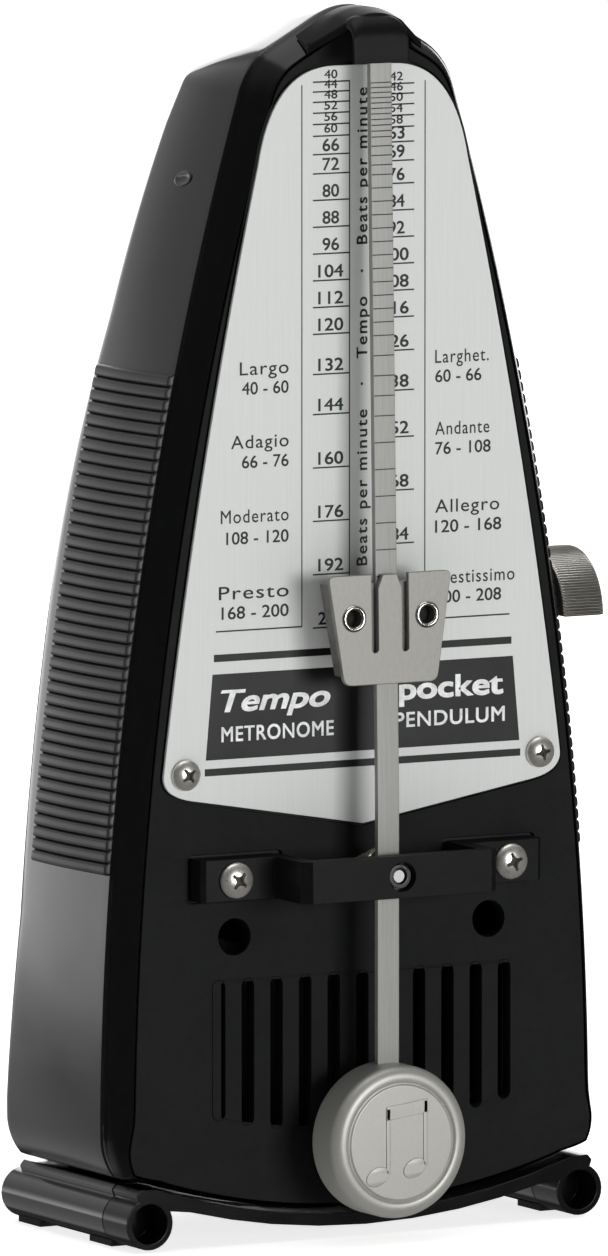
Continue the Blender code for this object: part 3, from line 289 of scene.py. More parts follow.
def worked(mesh, *steps):
    """The mesh after a chain of modifiers; each step adds one to a temporary object."""
    temp = bpy.data.objects.new("working_copy", mesh)
    bpy.context.scene.collection.objects.link(temp)
    for step in steps:
        step(temp)
    made = evaluated_mesh(temp, mesh.name)
    bpy.data.objects.remove(temp, do_unlink=True)
    return made


def add_bevel(width, segments=2, angle=35.0):
    def step(obj):
        made = obj.modifiers.new("edges", "BEVEL")
        made.width = width * MM
        made.segments = segments
        made.limit_method = "ANGLE"
        made.angle_limit = math.radians(angle)
        made.use_clamp_overlap = True
    return step


def add_flat_shading(obj):
    made = obj.modifiers.new("shading", "WEIGHTED_NORMAL")
    made.weight = 100
    made.keep_sharp = True


def add_wall(thickness):
    def step(obj):
        made = obj.modifiers.new("wall", "SOLIDIFY")
        made.thickness = thickness * MM
        made.offset = -1.0
    return step


def add_cut(cutter, crosses_itself=False):
    def step(obj):
        made = obj.modifiers.new("cut", "BOOLEAN")
        made.object = cutter
        made.operation = "DIFFERENCE"
        made.solver = "EXACT"
        made.use_self = crosses_itself
    return step


def helper(mesh):
    obj = bpy.data.objects.new("helper", mesh)
    bpy.context.scene.collection.objects.link(obj)
    return obj


def joined(name, meshes):
    shape = bmesh.new()
    for mesh in meshes:
        shape.from_mesh(mesh)
    return mesh_from(shape, name, recalculate=False)


def arc(centre, radius, start, end, steps):
    turns = [math.radians(start + (end - start) * k / steps) for k in range(steps + 1)]
    return [(centre[0] + radius * math.cos(t), centre[1] + radius * math.sin(t)) for t in turns]


def bend(start, corner, end, steps):
    points = []
    for k in range(steps + 1):
        t = k / steps
        mix = [(1 - t) ** 2 * a + 2 * t * (1 - t) * b + t * t * c for a, b, c in zip(start, corner, end)]
        points.append(tuple(mix))
    return points


def mirrored(half):
    return half + [(-x, z) for x, z in reversed(half[1:-1])]


def rounded(corners, radius, steps=6):
    """The outline with each of its corners as an arc."""
    points = []
    for k, corner in enumerate(corners):
        here = Vector(corner)
        before = (Vector(corners[k - 1]) - here).normalized()
        after = (Vector(corners[(k + 1) % len(corners)]) - here).normalized()
        half = math.acos(max(-1, min(1, before.dot(after)))) / 2
        reach = radius / math.tan(half)
        centre = here + (before + after).normalized() * radius / math.sin(half)
        start, end = here + before * reach - centre, here + after * reach - centre
        turn = start.angle_signed(end)
        for n in range(steps + 1):
            spoke = Matrix.Rotation(-turn * n / steps, 2) @ start
            points.append(tuple(centre + spoke))
    return points


def inward(outline):
    normals = []
    for k, point in enumerate(outline):
        before = Vector(outline[k - 1])
        after = Vector(outline[(k + 1) % len(outline)])
        first = (Vector(point) - before).normalized()
        second = (after - Vector(point)).normalized()
        normal = Vector((-first.y - second.y, first.x + second.x)).normalized()
        normals.append(normal / max(0.5, normal.dot(Vector((-first.y, first.x)))))
    return normals


def offset_outline(outline, distance):
    points = []
    for (x, z), normal in zip(outline, inward(outline)):
        d = distance(z) if callable(distance) else distance
        points.append((x + normal.x * d, z + normal.y * d))
    return points


def plate_mesh(outlines, front, back, edge=0.08, edge_steps=1):
    """A flat plate seen from the front, with its holes, between two depths, with rounded edges."""
    curve = bpy.data.curves.new("plate", "CURVE")
    curve.dimensions = "2D"
    curve.fill_mode = "BOTH"
    curve.extrude = max((back - front) / 2 - edge, 0.001) * MM
    curve.bevel_depth = edge * MM
    curve.bevel_resolution = edge_steps
    curve.offset = -edge * MM
    for outline in outlines:
        spline = curve.splines.new("POLY")
        spline.points.add(len(outline) - 1)
        for point, (x, z) in zip(spline.points, outline):
            point.co = (x * MM, z * MM, 0, 1)
        spline.use_cyclic_u = True
    temp = bpy.data.objects.new("plate", curve)
    bpy.context.scene.collection.objects.link(temp)
    mesh = evaluated_mesh(temp, "plate")
    bpy.data.objects.remove(temp, do_unlink=True)
    bpy.data.curves.remove(curve)
    middle = at(0, (front + back) / 2, 0)
    upright = Matrix.Translation(middle) @ Matrix.Rotation(math.pi / 2, 4, "X")
    mesh.transform(upright)
    shape = bmesh.new()
    shape.from_mesh(mesh)
    bmesh.ops.remove_doubles(shape, verts=shape.verts, dist=1e-7)
    return mesh_from(shape, "plate")


def emboldened(mesh, amount):
    """Flat lettering with its outline moved outwards in its own plane."""
    shape = bmesh.new()
    shape.from_mesh(mesh)
    moves = {vert: Vector((0, 0, 0)) for vert in shape.verts}
    for edge in shape.edges:
        if not edge.is_boundary:
            continue
        loop = edge.link_loops[0]
        along = (loop.link_loop_next.vert.co - loop.vert.co).normalized()
        out = along.cross(loop.face.normal)
        for vert in edge.verts:
            moves[vert] += out
    for vert, move in moves.items():
        vert.co += move.normalized() * amount
    return mesh_from(shape, "lettering", recalculate=False)


def text_mesh(
    words, x, z, height, front, width, align="CENTER", turn=0.0, weight=0.0, shear=0.0, spacing=1.0
):
    """Flat lettering, fitted to a cap height and to a width."""
    curve = bpy.data.curves.new("lettering", "FONT")
    curve.body = words
    curve.size = 1.0
    curve.extrude = 0.0
    curve.fill_mode = "FRONT"
    curve.resolution_u = 4
    curve.shear = shear
    curve.space_character = spacing
    temp = bpy.data.objects.new("lettering", curve)
    bpy.context.scene.collection.objects.link(temp)
    mesh = emboldened(evaluated_mesh(temp, "lettering"), weight)
    bpy.data.objects.remove(temp, do_unlink=True)
    xs = [v.co.x for v in mesh.vertices]
    low_x, high_x = min(xs), max(xs)
    cap_share = 0.73
    up = height / cap_share
    across = width / (high_x - low_x)
    anchor = {"CENTER": (low_x + high_x) / 2, "LEFT": low_x, "RIGHT": high_x}[align]
    fit = Matrix.Diagonal((across * MM, up * MM, 1, 1)) @ Matrix.Translation((-anchor, 0, 0))
    stand = Matrix.Rotation(math.pi / 2, 4, "X") @ Matrix.Rotation(turn, 4, "Z")
    mesh.transform(Matrix.Translation(at(x, front, z)) @ stand @ fit)
    return mesh


def skin(shape, rings, around=True):
    """Faces between neighbouring rings; with around, the last ring also meets the first one."""
    size = len(rings[0])
    for first, second in zip(rings, rings[1:] + rings[:1] if around else rings[1:]):
        for k in range(size):
            n = (k + 1) % size
            shape.faces.new([first[k], first[n], second[n], second[k]])


def capped(shape, rings):
    """A closed skin over open-ended rings, with a face at each end."""
    skin(shape, rings, around=False)
    shape.faces.new(rings[0])
    shape.faces.new(rings[-1])


def bar_mesh(x0, x1, z0, z1, front):
    shape = bmesh.new()
    corners = [(x0, z0), (x1, z0), (x1, z1), (x0, z1)]
    shape.faces.new([shape.verts.new(at(x, front, z)) for x, z in corners])
    return mesh_from(shape, "bar", recalculate=False)


def turned_mesh(profile, axis, centre, sides=64):
    """A closed or axis-to-axis profile of (radius, place along the axis), turned about X or Y."""
    shape = bmesh.new()
    rings = []
    for radius, along in profile:
        count = 1 if radius == 0 else sides
        ring = []
        for k in range(count):
            angle = 2 * math.pi * k / sides
            a, b = centre[0] + radius * math.cos(angle), centre[1] + radius * math.sin(angle)
            ring.append(shape.verts.new(at(along, a, b) if axis == "X" else at(a, along, b)))
        rings.append(ring)
    closed = profile[0][0] > 0
    pairs = list(zip(rings, rings[1:] + rings[:1])) if closed else list(zip(rings, rings[1:]))
    for first, second in pairs:
        for k in range(sides):
            corners = [first[k % len(first)], first[(k + 1) % len(first)]]
            corners += [second[(k + 1) % len(second)], second[k % len(second)]]
            unique = list(dict.fromkeys(corners))
            if len(unique) > 2:
                shape.faces.new(unique)
    return mesh_from(shape, "turned")


def refined(node, material, width=0.15, segments=2, angle=30.0, sharp=32.0):
    """A CAD node's own shape with its flat faces merged and its edges rounded."""
    source = frame["nodes"][node]
    body = body_of(source)
    body = body[0] if isinstance(body, (list, tuple)) else body
    shape = bmesh.new()
    shape.from_mesh(source.data)
    bmesh.ops.remove_doubles(shape, verts=shape.verts, dist=2e-7)
    bmesh.ops.dissolve_limit(shape, angle_limit=math.radians(0.6), verts=shape.verts, edges=shape.edges)
    mesh = mesh_from(shape, node)
    if width:
        mesh = worked(mesh, add_bevel(width, segments, angle))
    slot = SLOT_OF[node]
    return piece(f"{node}_finish", mesh, material, body, slot, node, sharp=sharp)


SLOT_OF = {entry["node"]: entry["material_slot"] for entry in frame["record"]["subparts"]}


# --------------------------------------------------------------------- casing


def side_half_width(z):
    return SIDE_HALF_WIDTH - SIDE_ARC_RADIUS + math.sqrt(SIDE_ARC_RADIUS**2 - (z - SIDE_ARC_Z) ** 2)


def bottom_z(x):
    return 3.55 + x * x / 188.0


def body_outline():
    half = [(x, bottom_z(x)) for x in [30 * k / 24 for k in range(25)]]
    half += bend(half[-1], (32.8, 8.75), (34.23, 9.36), 4)[1:]
    half += arc((28.1, 14.5), 8.0, -40, 0, 14)[1:]
    half += [(side_half_width(z), z) for z in [16.5 + 132 * k / 60 for k in range(61)]]
    half += bend(half[-1], (14.75, 152.6), (11.5, 154.7), 14)[1:]
    half += [(10.1, 155.55), (8.2, 156.62), (6.6, 157.5)]
    half += bend((5.0, 158.4), (2.2, BODY_TOP_Z), (0, BODY_TOP_Z), 10)
    return mirrored(half)


def frame_width(z):
    share = min(1, max(0, (z - 8.0) / 9.0))
    return 0.5 + (FRAME_WIDTH - 0.5) * share


def back_y(z):
    return BACK_Y - 0.0022 * max(z - 80, 0) ** 2


def back_corner(z):
    share = min(1, max(0, (z - 16) / 25), max(0, (144 - z) / 25))
    return 2.4 + 3.6 * share


def roof_fall(y, z):
    share = min(1, max(0, (z - 150) / 6))
    return 0.18 * (y - SHELL_FRONT_Y) * share


def bulge(y, z):
    share = min(1, max(0, (y - SHELL_FRONT_Y) / (back_y(z) - SHELL_FRONT_Y)))
    return SIDE_BULGE * min(1, max(0, (z - 10) / 10)) * math.sin(math.pi * share)


def well_cutter():
    """The round well in the right side that the winding key stands in."""
    wide, past = KEY_WELL_RADIUS + 0.5, KEY_WELL_X + 13.7
    profile = [(0, KEY_WELL_X), (KEY_WELL_RADIUS, KEY_WELL_X), (wide, KEY_WELL_X + 0.5)]
    profile += [(wide, past), (0, past)]
    return helper(turned_mesh(profile, "X", KEY_PLACE, 72))


def build_housing():
    outline = body_outline()
    shape = bmesh.new()
    rings = []
    for (x, z), normal in zip(outline, inward(outline)):
        corner = back_corner(z)
        straight = back_y(z) - corner
        spots = [(0.25 * (1 - k / 2) ** 2, SHELL_FRONT_Y + 0.15 * k) for k in range(3)]
        start = SHELL_FRONT_Y + 0.3
        spots += [(0.0, start + (straight - SHELL_FRONT_Y - 0.3) * k / 14) for k in range(1, 14)]
        for k in range(11):
            t = math.pi / 2 * k / 10
            spots.append((corner * (1 - math.cos(t)), straight + corner * math.sin(t)))
        ring = []
        for inset, y in spots:
            shift = inset - bulge(y, z) * abs(normal.x)
            height = z + normal.y * shift - roof_fall(y, z)
            ring.append(shape.verts.new(at(x + normal.x * shift, y, height)))
        rings.append(ring)
    for first, second in zip(rings, rings[1:] + rings[:1]):
        for k in range(len(first) - 1):
            shape.faces.new([first[k], second[k], second[k + 1], first[k + 1]])
    backs = [ring[-1] for ring in rings]
    count = len(backs)
    for k in range(1, count // 2 - 1):
        shape.faces.new([backs[k], backs[k + 1], backs[count - k - 1], backs[count - k]])
    shape.faces.new([backs[0], backs[1], backs[-1]])
    middle = count // 2
    shape.faces.new([backs[middle], backs[middle + 1], backs[middle - 1]])
    mesh = mesh_from(shape, "housing_shell")
    cutter = well_cutter()
    mesh = worked(mesh, add_wall(SHELL_WALL), add_cut(cutter))
    bpy.data.objects.remove(cutter, do_unlink=True)
    return piece("housing_shell", mesh, GLOSS_BLACK, "case", "gloss_black", "housing", sharp=40)


def build_mould_mark():
    """The small oval mark high on the left side."""
    y, z = 12.0, 137.6
    shape = bmesh.new()
    rings = []
    for scale, rise in ((1.0, -0.05), (0.93, 0.1), (0.8, 0.16), (0.66, 0.1), (0.5, 0.02), (0.25, 0.0)):
        ring = []
        for k in range(48):
            t = 2 * math.pi * k / 48
            py = y + 2.1 * scale * math.cos(t)
            pz = z + 1.05 * scale * math.sin(t) - 0.25 * scale * math.cos(t)
            x = side_half_width(pz) + bulge(py, pz) + rise
            ring.append(shape.verts.new(at(-x, py, pz)))
        rings.append(ring)
    for first, second in zip(rings, rings[1:]):
        for k in range(48):
            shape.faces.new([first[k], first[(k + 1) % 48], second[(k + 1) % 48], second[k]])
    shape.faces.new(rings[-1])
    mesh = mesh_from(shape, "mould_mark", recalculate=True)
    return piece("mould_mark", mesh, GLOSS_BLACK, "case", "gloss_black", sharp=60)


def rib_rise(z):
    pitch = (RIB_TOP_Z - RIB_BOTTOM_Z) / RIB_COUNT
    share = ((z - RIB_BOTTOM_Z) / pitch) % 1.0
    across = min(1.0, abs(share - 0.5) / 0.48)
    return 0.5 + 0.5 * (1 - across**4) ** 0.5


def build_ribs(side, word):
    steps = 12
    rows = RIB_COUNT * steps
    front, back = SHELL_FRONT_Y + 0.1, RIB_BACK_Y
    columns = 30
    shape = bmesh.new()
    grid = []
    for k in range(rows + 1):
        z = RIB_BOTTOM_Z + (RIB_TOP_Z - RIB_BOTTOM_Z) * k / rows
        line = []
        for n in range(columns + 1):
            share = n / columns
            y = front + (back - front) * (0.5 - 0.5 * math.cos(math.pi * share))
            near = min((y - front) / 0.25, (back - y) / 0.55)
            taper = math.sqrt(max(0, 1 - (1 - min(1, near)) ** 2))
            rise = -0.12 + (RIB_HEIGHT + 0.12) * rib_rise(z) * taper
            x = side_half_width(z) + bulge(y, z) + rise
            line.append(shape.verts.new(at(side * x, y, z)))
        grid.append(line)
    for low, high in zip(grid, grid[1:]):
        for n in range(columns):
            corners = [low[n], low[n + 1], high[n + 1], high[n]]
            shape.faces.new(corners if side > 0 else corners[::-1])
    mesh = mesh_from(shape, f"ribs_{word}", recalculate=False)
    if side > 0:
        cutter = well_cutter()
        mesh = worked(mesh, add_wall(0.8), add_cut(cutter, crosses_itself=True))
        bpy.data.objects.remove(cutter, do_unlink=True)
    return piece(f"side_ribs_{word}", mesh, RIB_BLACK, "case", "gloss_black", sharp=50)


def build_front_frame():
    outline = body_outline()
    shape = bmesh.new()
    rows = []
    for (x, z), normal in zip(outline, inward(outline)):
        width = frame_width(z)
        profile = [(0.25, FRAME_DEPTH), (0.06, FRAME_DEPTH - 0.1), (0.0, FRAME_DEPTH - 0.3)]
        for k in range(1, 13):
            share = 0.08 + 0.82 * k / 12
            rise = 0.18 * math.sin(math.pi * share)
            depth = FRAME_DEPTH * (1 - share) - rise * 0.49
            profile.append((width * share * 0.95 - rise * 0.87, depth))
        profile += [(width * 0.9, 0.14), (width * 0.94, 0.04), (width * 0.97, 0.01), (width - 0.03, 0.05)]
        profile += [(width, 0.2), (width, FRAME_DEPTH)]
        rows.append([shape.verts.new(at(x + normal.x * d, y, z + normal.y * d)) for d, y in profile])
    skin(shape, rows)
    mesh = mesh_from(shape, "front_band")
    # The band uses the darker copy of the gloss black: painted shade.
    return piece("front_band", mesh, SHADED_BAND_BLACK, "case", "gloss_black", "front_frame", sharp=45)


def hood_section(x):
    """Depth and height of the hood's outline where it crosses a place along X."""
    reach = min(1, max(0, (abs(x) - HOOD_FLAT) / (HOOD_HALF_WIDTH - HOOD_FLAT)))
    slope = min(0.128 * abs(x), 0.555)
    roof = BODY_TOP_Z - (0.064 * x * x if abs(x) < 5 else 1.6 + 0.555 * (abs(x) - 5))
    stretch = math.sqrt(1 + slope * slope)
    depth = 0.3 + 2.8 * (1 - reach)
    low = 157.2 - 0.68 * max(0, abs(x) - HOOD_FLAT)
    points = []
    for y in (2.6, 1.2, HOOD_ROOT_Y):
        seat = roof - ((FRAME_DEPTH - y) * 0.543 - 0.56) * stretch
        points.append((y, seat, seat + (roof - 0.02 - seat) * (1 - 0.55 * reach)))
    front, edge = HOOD_ROOT_Y - depth, points[-1][2] - 0.2 * depth
    section = [(y, top) for y, _, top in points]
    for k in range(5):
        t = math.pi / 2 * k / 4
        section.append((front + 0.45 * (1 - math.sin(t)), edge - 0.45 * (1 - math.cos(t))))
    section += [(front, low), (HOOD_ROOT_Y, low)]
    return section + [(y, seat) for y, seat, _ in points[::-1]]


def build_hood():
    """The hood over the top of the front, and the tongue whose rounded top runs into it."""
    shape = bmesh.new()
    rings = []
    steps = 48
    for k in range(steps + 1):
        x = HOOD_HALF_WIDTH * (2 * k / steps - 1)
        rings.append([shape.verts.new(at(x, y, z)) for y, z in hood_section(x)])
    capped(shape, rings)
    hood = mesh_from(shape, "hood")
    shape = bmesh.new()
    rings = []
    steps = 32
    inner = [(-5.15, TONGUE_EDGE_Z), (-5.12, 155.0), (-5.0, 156.3), (-4.7, 156.9), (-4.2, 157.3)]
    inner.append((TONGUE_ROOT_Y, 157.45))
    for k in range(steps + 1):
        x = TONGUE_LEFT_X + (TONGUE_RIGHT_X - TONGUE_LEFT_X) * k / steps
        near = min(x - TONGUE_LEFT_X, TONGUE_RIGHT_X - x)
        droop = 1.3 * (1 - math.sqrt(max(0, 1 - (1 - min(1, near / 2.2)) ** 2)))
        outer = [(TONGUE_ROOT_Y, 159.05 - droop)] + tongue_face(droop)
        rings.append([shape.verts.new(at(x, y, z)) for y, z in outer + inner])
    capped(shape, rings)
    tongue = worked(mesh_from(shape, "tongue"), add_bevel(0.14, 3, 50))
    mesh = joined("top_hood", [hood, tongue])
    return piece("top_hood", mesh, FITTING_BLACK, "case", "matte_black", "rod_catch", sharp=50)


def tongue_face(droop):
    """The tongue's outer face, from its rounded top down to its lower edge."""
    points = []
    for k in range(1, 13):
        t = math.pi / 2 * k / 12
        points.append((TONGUE_ROOT_Y - 2.9 * math.sin(t), 156.05 + (3.0 - droop) * math.cos(t)))
    return points + [(-5.6, 154.9), (-5.7, TONGUE_EDGE_Z)]


def plate_half_width(z):
    """Half of the scale plate's width: its sides lean in, a little more towards the top."""
    lower = 62.0
    return 29.4 - 0.126 * (z - lower) - 0.00067 * (z - lower) ** 2


def plate_outline():
    """The scale plate: a foot like a shallow V, leaning sides and round shoulders."""
    half = [(0, PLATE_APEX_Z)]
    half += bend((25.2, 58.23), (29.9, 59.04), (29.4, 62.0), 12)
    half += [(plate_half_width(z), z) for z in range(66, 140, 4)]
    half += bend((plate_half_width(140), 140), (13.4, 152.3), (4.6, PLATE_TOP_Z), 18)
    half += [(0, PLATE_TOP_Z)]
    return mirrored(half)


def slot_outline(x, low, high):
    radius = SLOT_WIDTH / 2
    points = arc((x, high - radius), radius, 0, 180, 14)
    return points + arc((x, low + radius), radius, 180, 360, 14)


def slot_low(x):
    return 14.0 + x * x / 194.0


def panel_holes():
    holes = []
    for k in range(-5, 6):
        x = k * SLOT_PITCH
        holes.append(slot_outline(x, slot_low(x), SLOT_TOP_Z))
    for side, _ in SIDES:
        centre = (side * SOUND_HOLE[0], SOUND_HOLE[1])
        holes.append(arc(centre, SOUND_HOLE_RADIUS, 0, 360, 47)[:-1])
    return holes


def build_front_panel():
    outline = offset_outline(body_outline(), lambda z: frame_width(z) + 0.22)
    skin_holes = panel_holes()
    skin_holes.append(offset_outline(plate_outline(), -0.32))
    for side, _ in SIDES:
        inner, outer = side * 11.9, side * 25.7
        corners = [(inner, 44.9), (outer, 44.9), (outer, 51.1), (inner, 51.1)]
        if side < 0:
            corners.reverse()
        skin_holes.append(rounded(corners, 0.5))
    skin = plate_mesh([outline, *skin_holes], 0.0, 0.62, 0.12, 2)
    # The back layer shows as the slot walls and the floors of the plate and bridge recesses; its darker
    # colour is painted shade.
    deck = plate_mesh([outline, *panel_holes()], 0.55, 2.2, 0.05, 0)
    half = [(0, 34.3), (20.7, 34.3), (20.9, 34.1), (20.9, slot_low(20.9) + 0.45)]
    half += [(x, slot_low(x) + 0.4) for x in (18, 15, 12, 9, 6, 3, 0)]
    field = [plate_mesh([mirrored(half)[::-1], *panel_holes()[:11]], -0.05, 0.02, 0.03, 1)]
    piece("front_panel_back", deck, SHADE_BLACK, "case", "matte_black")
    mesh = joined("front_panel_skin", [skin, *field])
    return piece("front_panel_skin", mesh, MATTE_BLACK, "case", "matte_black", "front_panel", sharp=40)


# ---------------------------------------------------------------- scale plate


def mark_z(beats):
    """Height of a tempo mark: even steps at the fast end, closing up towards the slow end."""
    squeeze = 0.000474 * max(78 - beats, 0) ** 2.3
    return 79.73 + 0.433 * (208 - beats) - squeeze


def tempo_marks():
    marks, beats = [], 40
    while beats <= 208:
        marks.append(beats)
        beats += 2 if beats < 60 else 3 if beats < 72 else 4 if beats < 120 else 6 if beats < 144 else 8
    return marks


def build_scale_plate():
    holes = [arc((side * PLATE_SCREW[0], PLATE_SCREW[1]), 1.2, 0, 360, 24)[:-1] for side, _ in SIDES]
    mesh = plate_mesh([plate_outline(), *holes], PLATE_FRONT_Y, PLATE_FRONT_Y + 0.5, 0.07, 1)
    piece("scale_plate_sheet", mesh, ALUMINIUM, "case", "scale_aluminium", "scale_plate")
    ink = PLATE_FRONT_Y - INK_THICKNESS
    black = []
    line = 0.1
    for k, beats in enumerate(tempo_marks()):
        z = mark_z(beats)
        side = -1 if k % 2 == 0 else 1
        low, high = sorted((side * SCALE_LINE_X, side * 7.5))
        black.append(bar_mesh(low, high, z - line, z + line, ink))
        small = beats < 61
        height = 1.16 if small else 1.68
        digits = str(beats)
        width = len(digits) * (0.98 if small else 1.24)
        black.append(text_mesh(digits, side * 4.85, z + 0.42, height, ink, width=width, weight=0.02))
    for side, _ in SIDES:
        rail, middle = side * SCALE_RAIL_X, side * SCALE_LINE_X
        black.append(bar_mesh(rail - 0.08, rail + 0.08, 80.0, 150.1, ink))
        black.append(bar_mesh(middle - 0.08, middle + 0.08, mark_z(208), mark_z(40) + 0.1, ink))
        low, high = sorted((rail, side * 21.8))
        black.append(bar_mesh(low, high, 79.92, 80.12, ink))
    black.append(bar_mesh(-22.1, 22.1, 76.1, 77.05, ink))
    black.append(bar_mesh(-23.45, 23.45, 61.35, 62.3, ink))
    box = bmesh.new()
    corners = ((-23.3, 63.4), (23.3, 63.4), (22.3, 74.5), (-22.3, 74.5))
    box.faces.new([box.verts.new(at(x, ink, z)) for x, z in corners])
    black.append(mesh_from(box, "label", recalculate=False))
    # Each row: the tempo's word, its width and height on the plate, then the same for its beats.
    left = (
        ("Largo", 7.2, 113.02, "40 - 60", 6.9, 110.5),
        ("Adagio", 8.5, 103.56, "66 - 76", 6.9, 101.0),
        ("Moderato", 10.0, 93.95, "108 - 120", 9.2, 91.2),
        ("Presto", 10.3, 84.1, "168 - 200", 9.9, 81.55),
    )
    right = (
        ("Larghet.", 8.0, 113.3, "60 - 66", 6.9, 110.8),
        ("Andante", 8.1, 103.93, "76 - 108", 8.3, 101.4),
        ("Allegro", 9.6, 93.8, "120 - 168", 9.9, 91.2),
        ("Prestissimo", 11.9, 84.5, "200 - 208", 9.9, 82.0),
    )
    for rows, x, align in ((left, -11.07, "RIGHT"), (right, 10.65, "LEFT")):
        for word, wide, z, beats, beats_wide, beats_z in rows:
            black.append(text_mesh(word, x, z, 1.8, ink, wide, align, weight=0.007, spacing=1.12))
            black.append(text_mesh(beats, x, beats_z, 1.68, ink, beats_wide, align, weight=0.014))
    words = "Beats per minute   ·   Tempo   ·   Beats per minute"
    black.append(
        text_mesh(words, 0.52, 118.5, 1.62, ink, 62.0, turn=math.pi / 2, weight=0.022, spacing=1.2)
    )
    mesh = joined("scale_print", black)
    piece("scale_print", mesh, PRINT_BLACK, "case", "scale_aluminium")
    paint = ink - INK_THICKNESS
    white = [
        text_mesh("Tempo", -13.0, 69.6, 2.9, paint, 16.2, weight=0.03, shear=0.25),
        text_mesh("METRONOME", -12.7, 65.7, 2.0, paint, 16.6, weight=0.022, spacing=1.1),
        text_mesh("pocket", 13.1, 69.75, 2.9, paint, 15.6, weight=0.035),
        text_mesh("PENDULUM", 12.9, 66.1, 2.0, paint, 16.4, weight=0.022, spacing=1.1),
    ]
    mesh = joined("scale_label_print", white)
    piece("scale_label_print", mesh, PRINT_WHITE, "case", "scale_aluminium")


# --------------------------------------------------------------------- screws


def build_screw(node, x, z, seat, radius, height, turn):
    """A domed head with a cross recess, and a dark inlay at the floor of the recess that paints the shade
    inside it.
    """
    rim = seat - height * 0.18
    profile = [(0, seat - height)]
    for k in range(1, 17):
        t = math.pi / 2 * k / 16
        profile.append((radius * math.sin(t), rim - (height * 0.82) * math.cos(t)))
    profile += [(radius * 0.97, seat), (radius * 0.42, seat), (radius * 0.42, seat + 3), (0, seat + 3)]
    head = turned_mesh(profile, "Y", (x, z), 64)
    arm, half = radius * 0.58, radius * 0.12
    quarter = [(half * 1.6, half * 1.6), (half, arm * 0.55), (half * 0.8, arm)]
    quarter += [(-half * 0.8, arm), (-half, arm * 0.55)]
    cross = []
    for k in range(4):
        spin = Matrix.Rotation(math.radians(90 * k + turn), 2)
        for p in quarter:
            cross.append(tuple(Vector((x, z)) + spin @ Vector(p)))
    shape = bmesh.new()
    tops = [shape.verts.new(at(px, seat - height - 0.5, pz)) for px, pz in cross]
    floor = seat - height * 0.3
    lows = [shape.verts.new(at(x + (px - x) * 0.8, floor, z + (pz - z) * 0.8)) for px, pz in cross]
    capped(shape, [tops, lows])
    cutter = helper(mesh_from(shape, "cross"))
    mesh = worked(head, add_cut(cutter))
    bpy.data.objects.remove(cutter, do_unlink=True)
    # The dark inlay at the recess floor is painted shade inside the cross recess.
    inlay = [(x + (px - x) * 0.78, z + (pz - z) * 0.78) for px, pz in cross]
    recess_shade_mesh = plate_mesh([inlay], floor - 0.25, floor + 0.06, 0.02, 1)
    piece(f"{node}_recess_shade", recess_shade_mesh, RECESS_SHADE, "case", "bright_nickel")
    return piece(f"{node}_head", mesh, SCREW_NICKEL, "case", "bright_nickel", node, sharp=38)


# ------------------------------------------------------------------- pendulum


def leant(mesh):
    """Leans a mesh back with the upper rod, about the rod's bend."""
    foot = at(0, ROD_FRONT_Y, ROD_BEND_Z)
    lean = Matrix.Rotation(-ROD_LEAN, 4, "X")
    mesh.transform(Matrix.Translation(foot) @ lean @ Matrix.Translation(-foot))
    return mesh


def build_rod_marks():
    # Flat dark bars stand for the engraved grooves; their dark colour is painted shade.
    marks = []
    for beats in tempo_marks():
        z = mark_z(beats)
        front = ROD_FRONT_Y + math.tan(ROD_LEAN) * (z - ROD_BEND_Z) - 0.012
        marks.append(bar_mesh(-1.5, 1.5, z - 0.07, z + 0.07, front))
    piece("rod_marks", joined("rod_marks", marks), GROOVE_SHADE, "pendulum", "satin_steel")


def build_counterweight():
    front, back, radius = BOB_FRONT_Y, BOB_BACK_Y, BOB_RADIUS
    quarter = [math.radians(a) for a in range(0, 91, 9)]
    profile = [(0, front + 0.12), (7.35, front + 0.12), (7.5, front + 0.16), (7.62, front + 0.3)]
    profile += [(7.75, front + 0.3), (7.88, front + 0.1), (8.1, front)]
    profile += [(radius - 1.5 + 1.5 * math.sin(t), front + 1.5 - 1.5 * math.cos(t)) for t in quarter]
    profile += [(radius, back - 0.8)]
    profile += [(radius - 0.8 + 0.8 * math.cos(t), back - 0.8 + 0.8 * math.sin(t)) for t in quarter[::2]]
    profile += [(0, back)]
    body = turned_mesh(profile, "Y", (0, BOB_Z), 128)
    piece("counterweight_disc", body, SATIN_NICKEL, "pendulum", "satin_nickel", "counterweight", sharp=50)
    outlines = []
    for x, z in ((-2.6, 9.1), (2.9, 9.9)):
        head = [(1.75 * math.cos(t), 1.2 * math.sin(t)) for t in [math.pi * k / 12 for k in range(24)]]
        spin = Matrix.Rotation(math.radians(24), 2)
        outlines.append([tuple(Vector((x, z)) + spin @ Vector(p)) for p in head])
    outlines.append([(-1.3, 9.4), (-0.7, 9.4), (-0.7, 17.9), (-1.3, 17.9)])
    outlines.append([(4.2, 10.2), (4.8, 10.2), (4.8, 18.7), (4.2, 18.7)])
    outlines.append([(-1.3, 16.3), (4.8, 17.1), (4.8, 18.9), (-1.3, 18.1)])
    shift = [[(x - 1.0, z) for x, z in outline] for outline in outlines]
    motif = [plate_mesh([outline], front - 0.02, front + 0.2, 0.09, 3) for outline in shift]
    mesh = joined("counterweight_note", motif)
    piece("counterweight_note", mesh, SATIN_NICKEL, "pendulum", "satin_nickel")


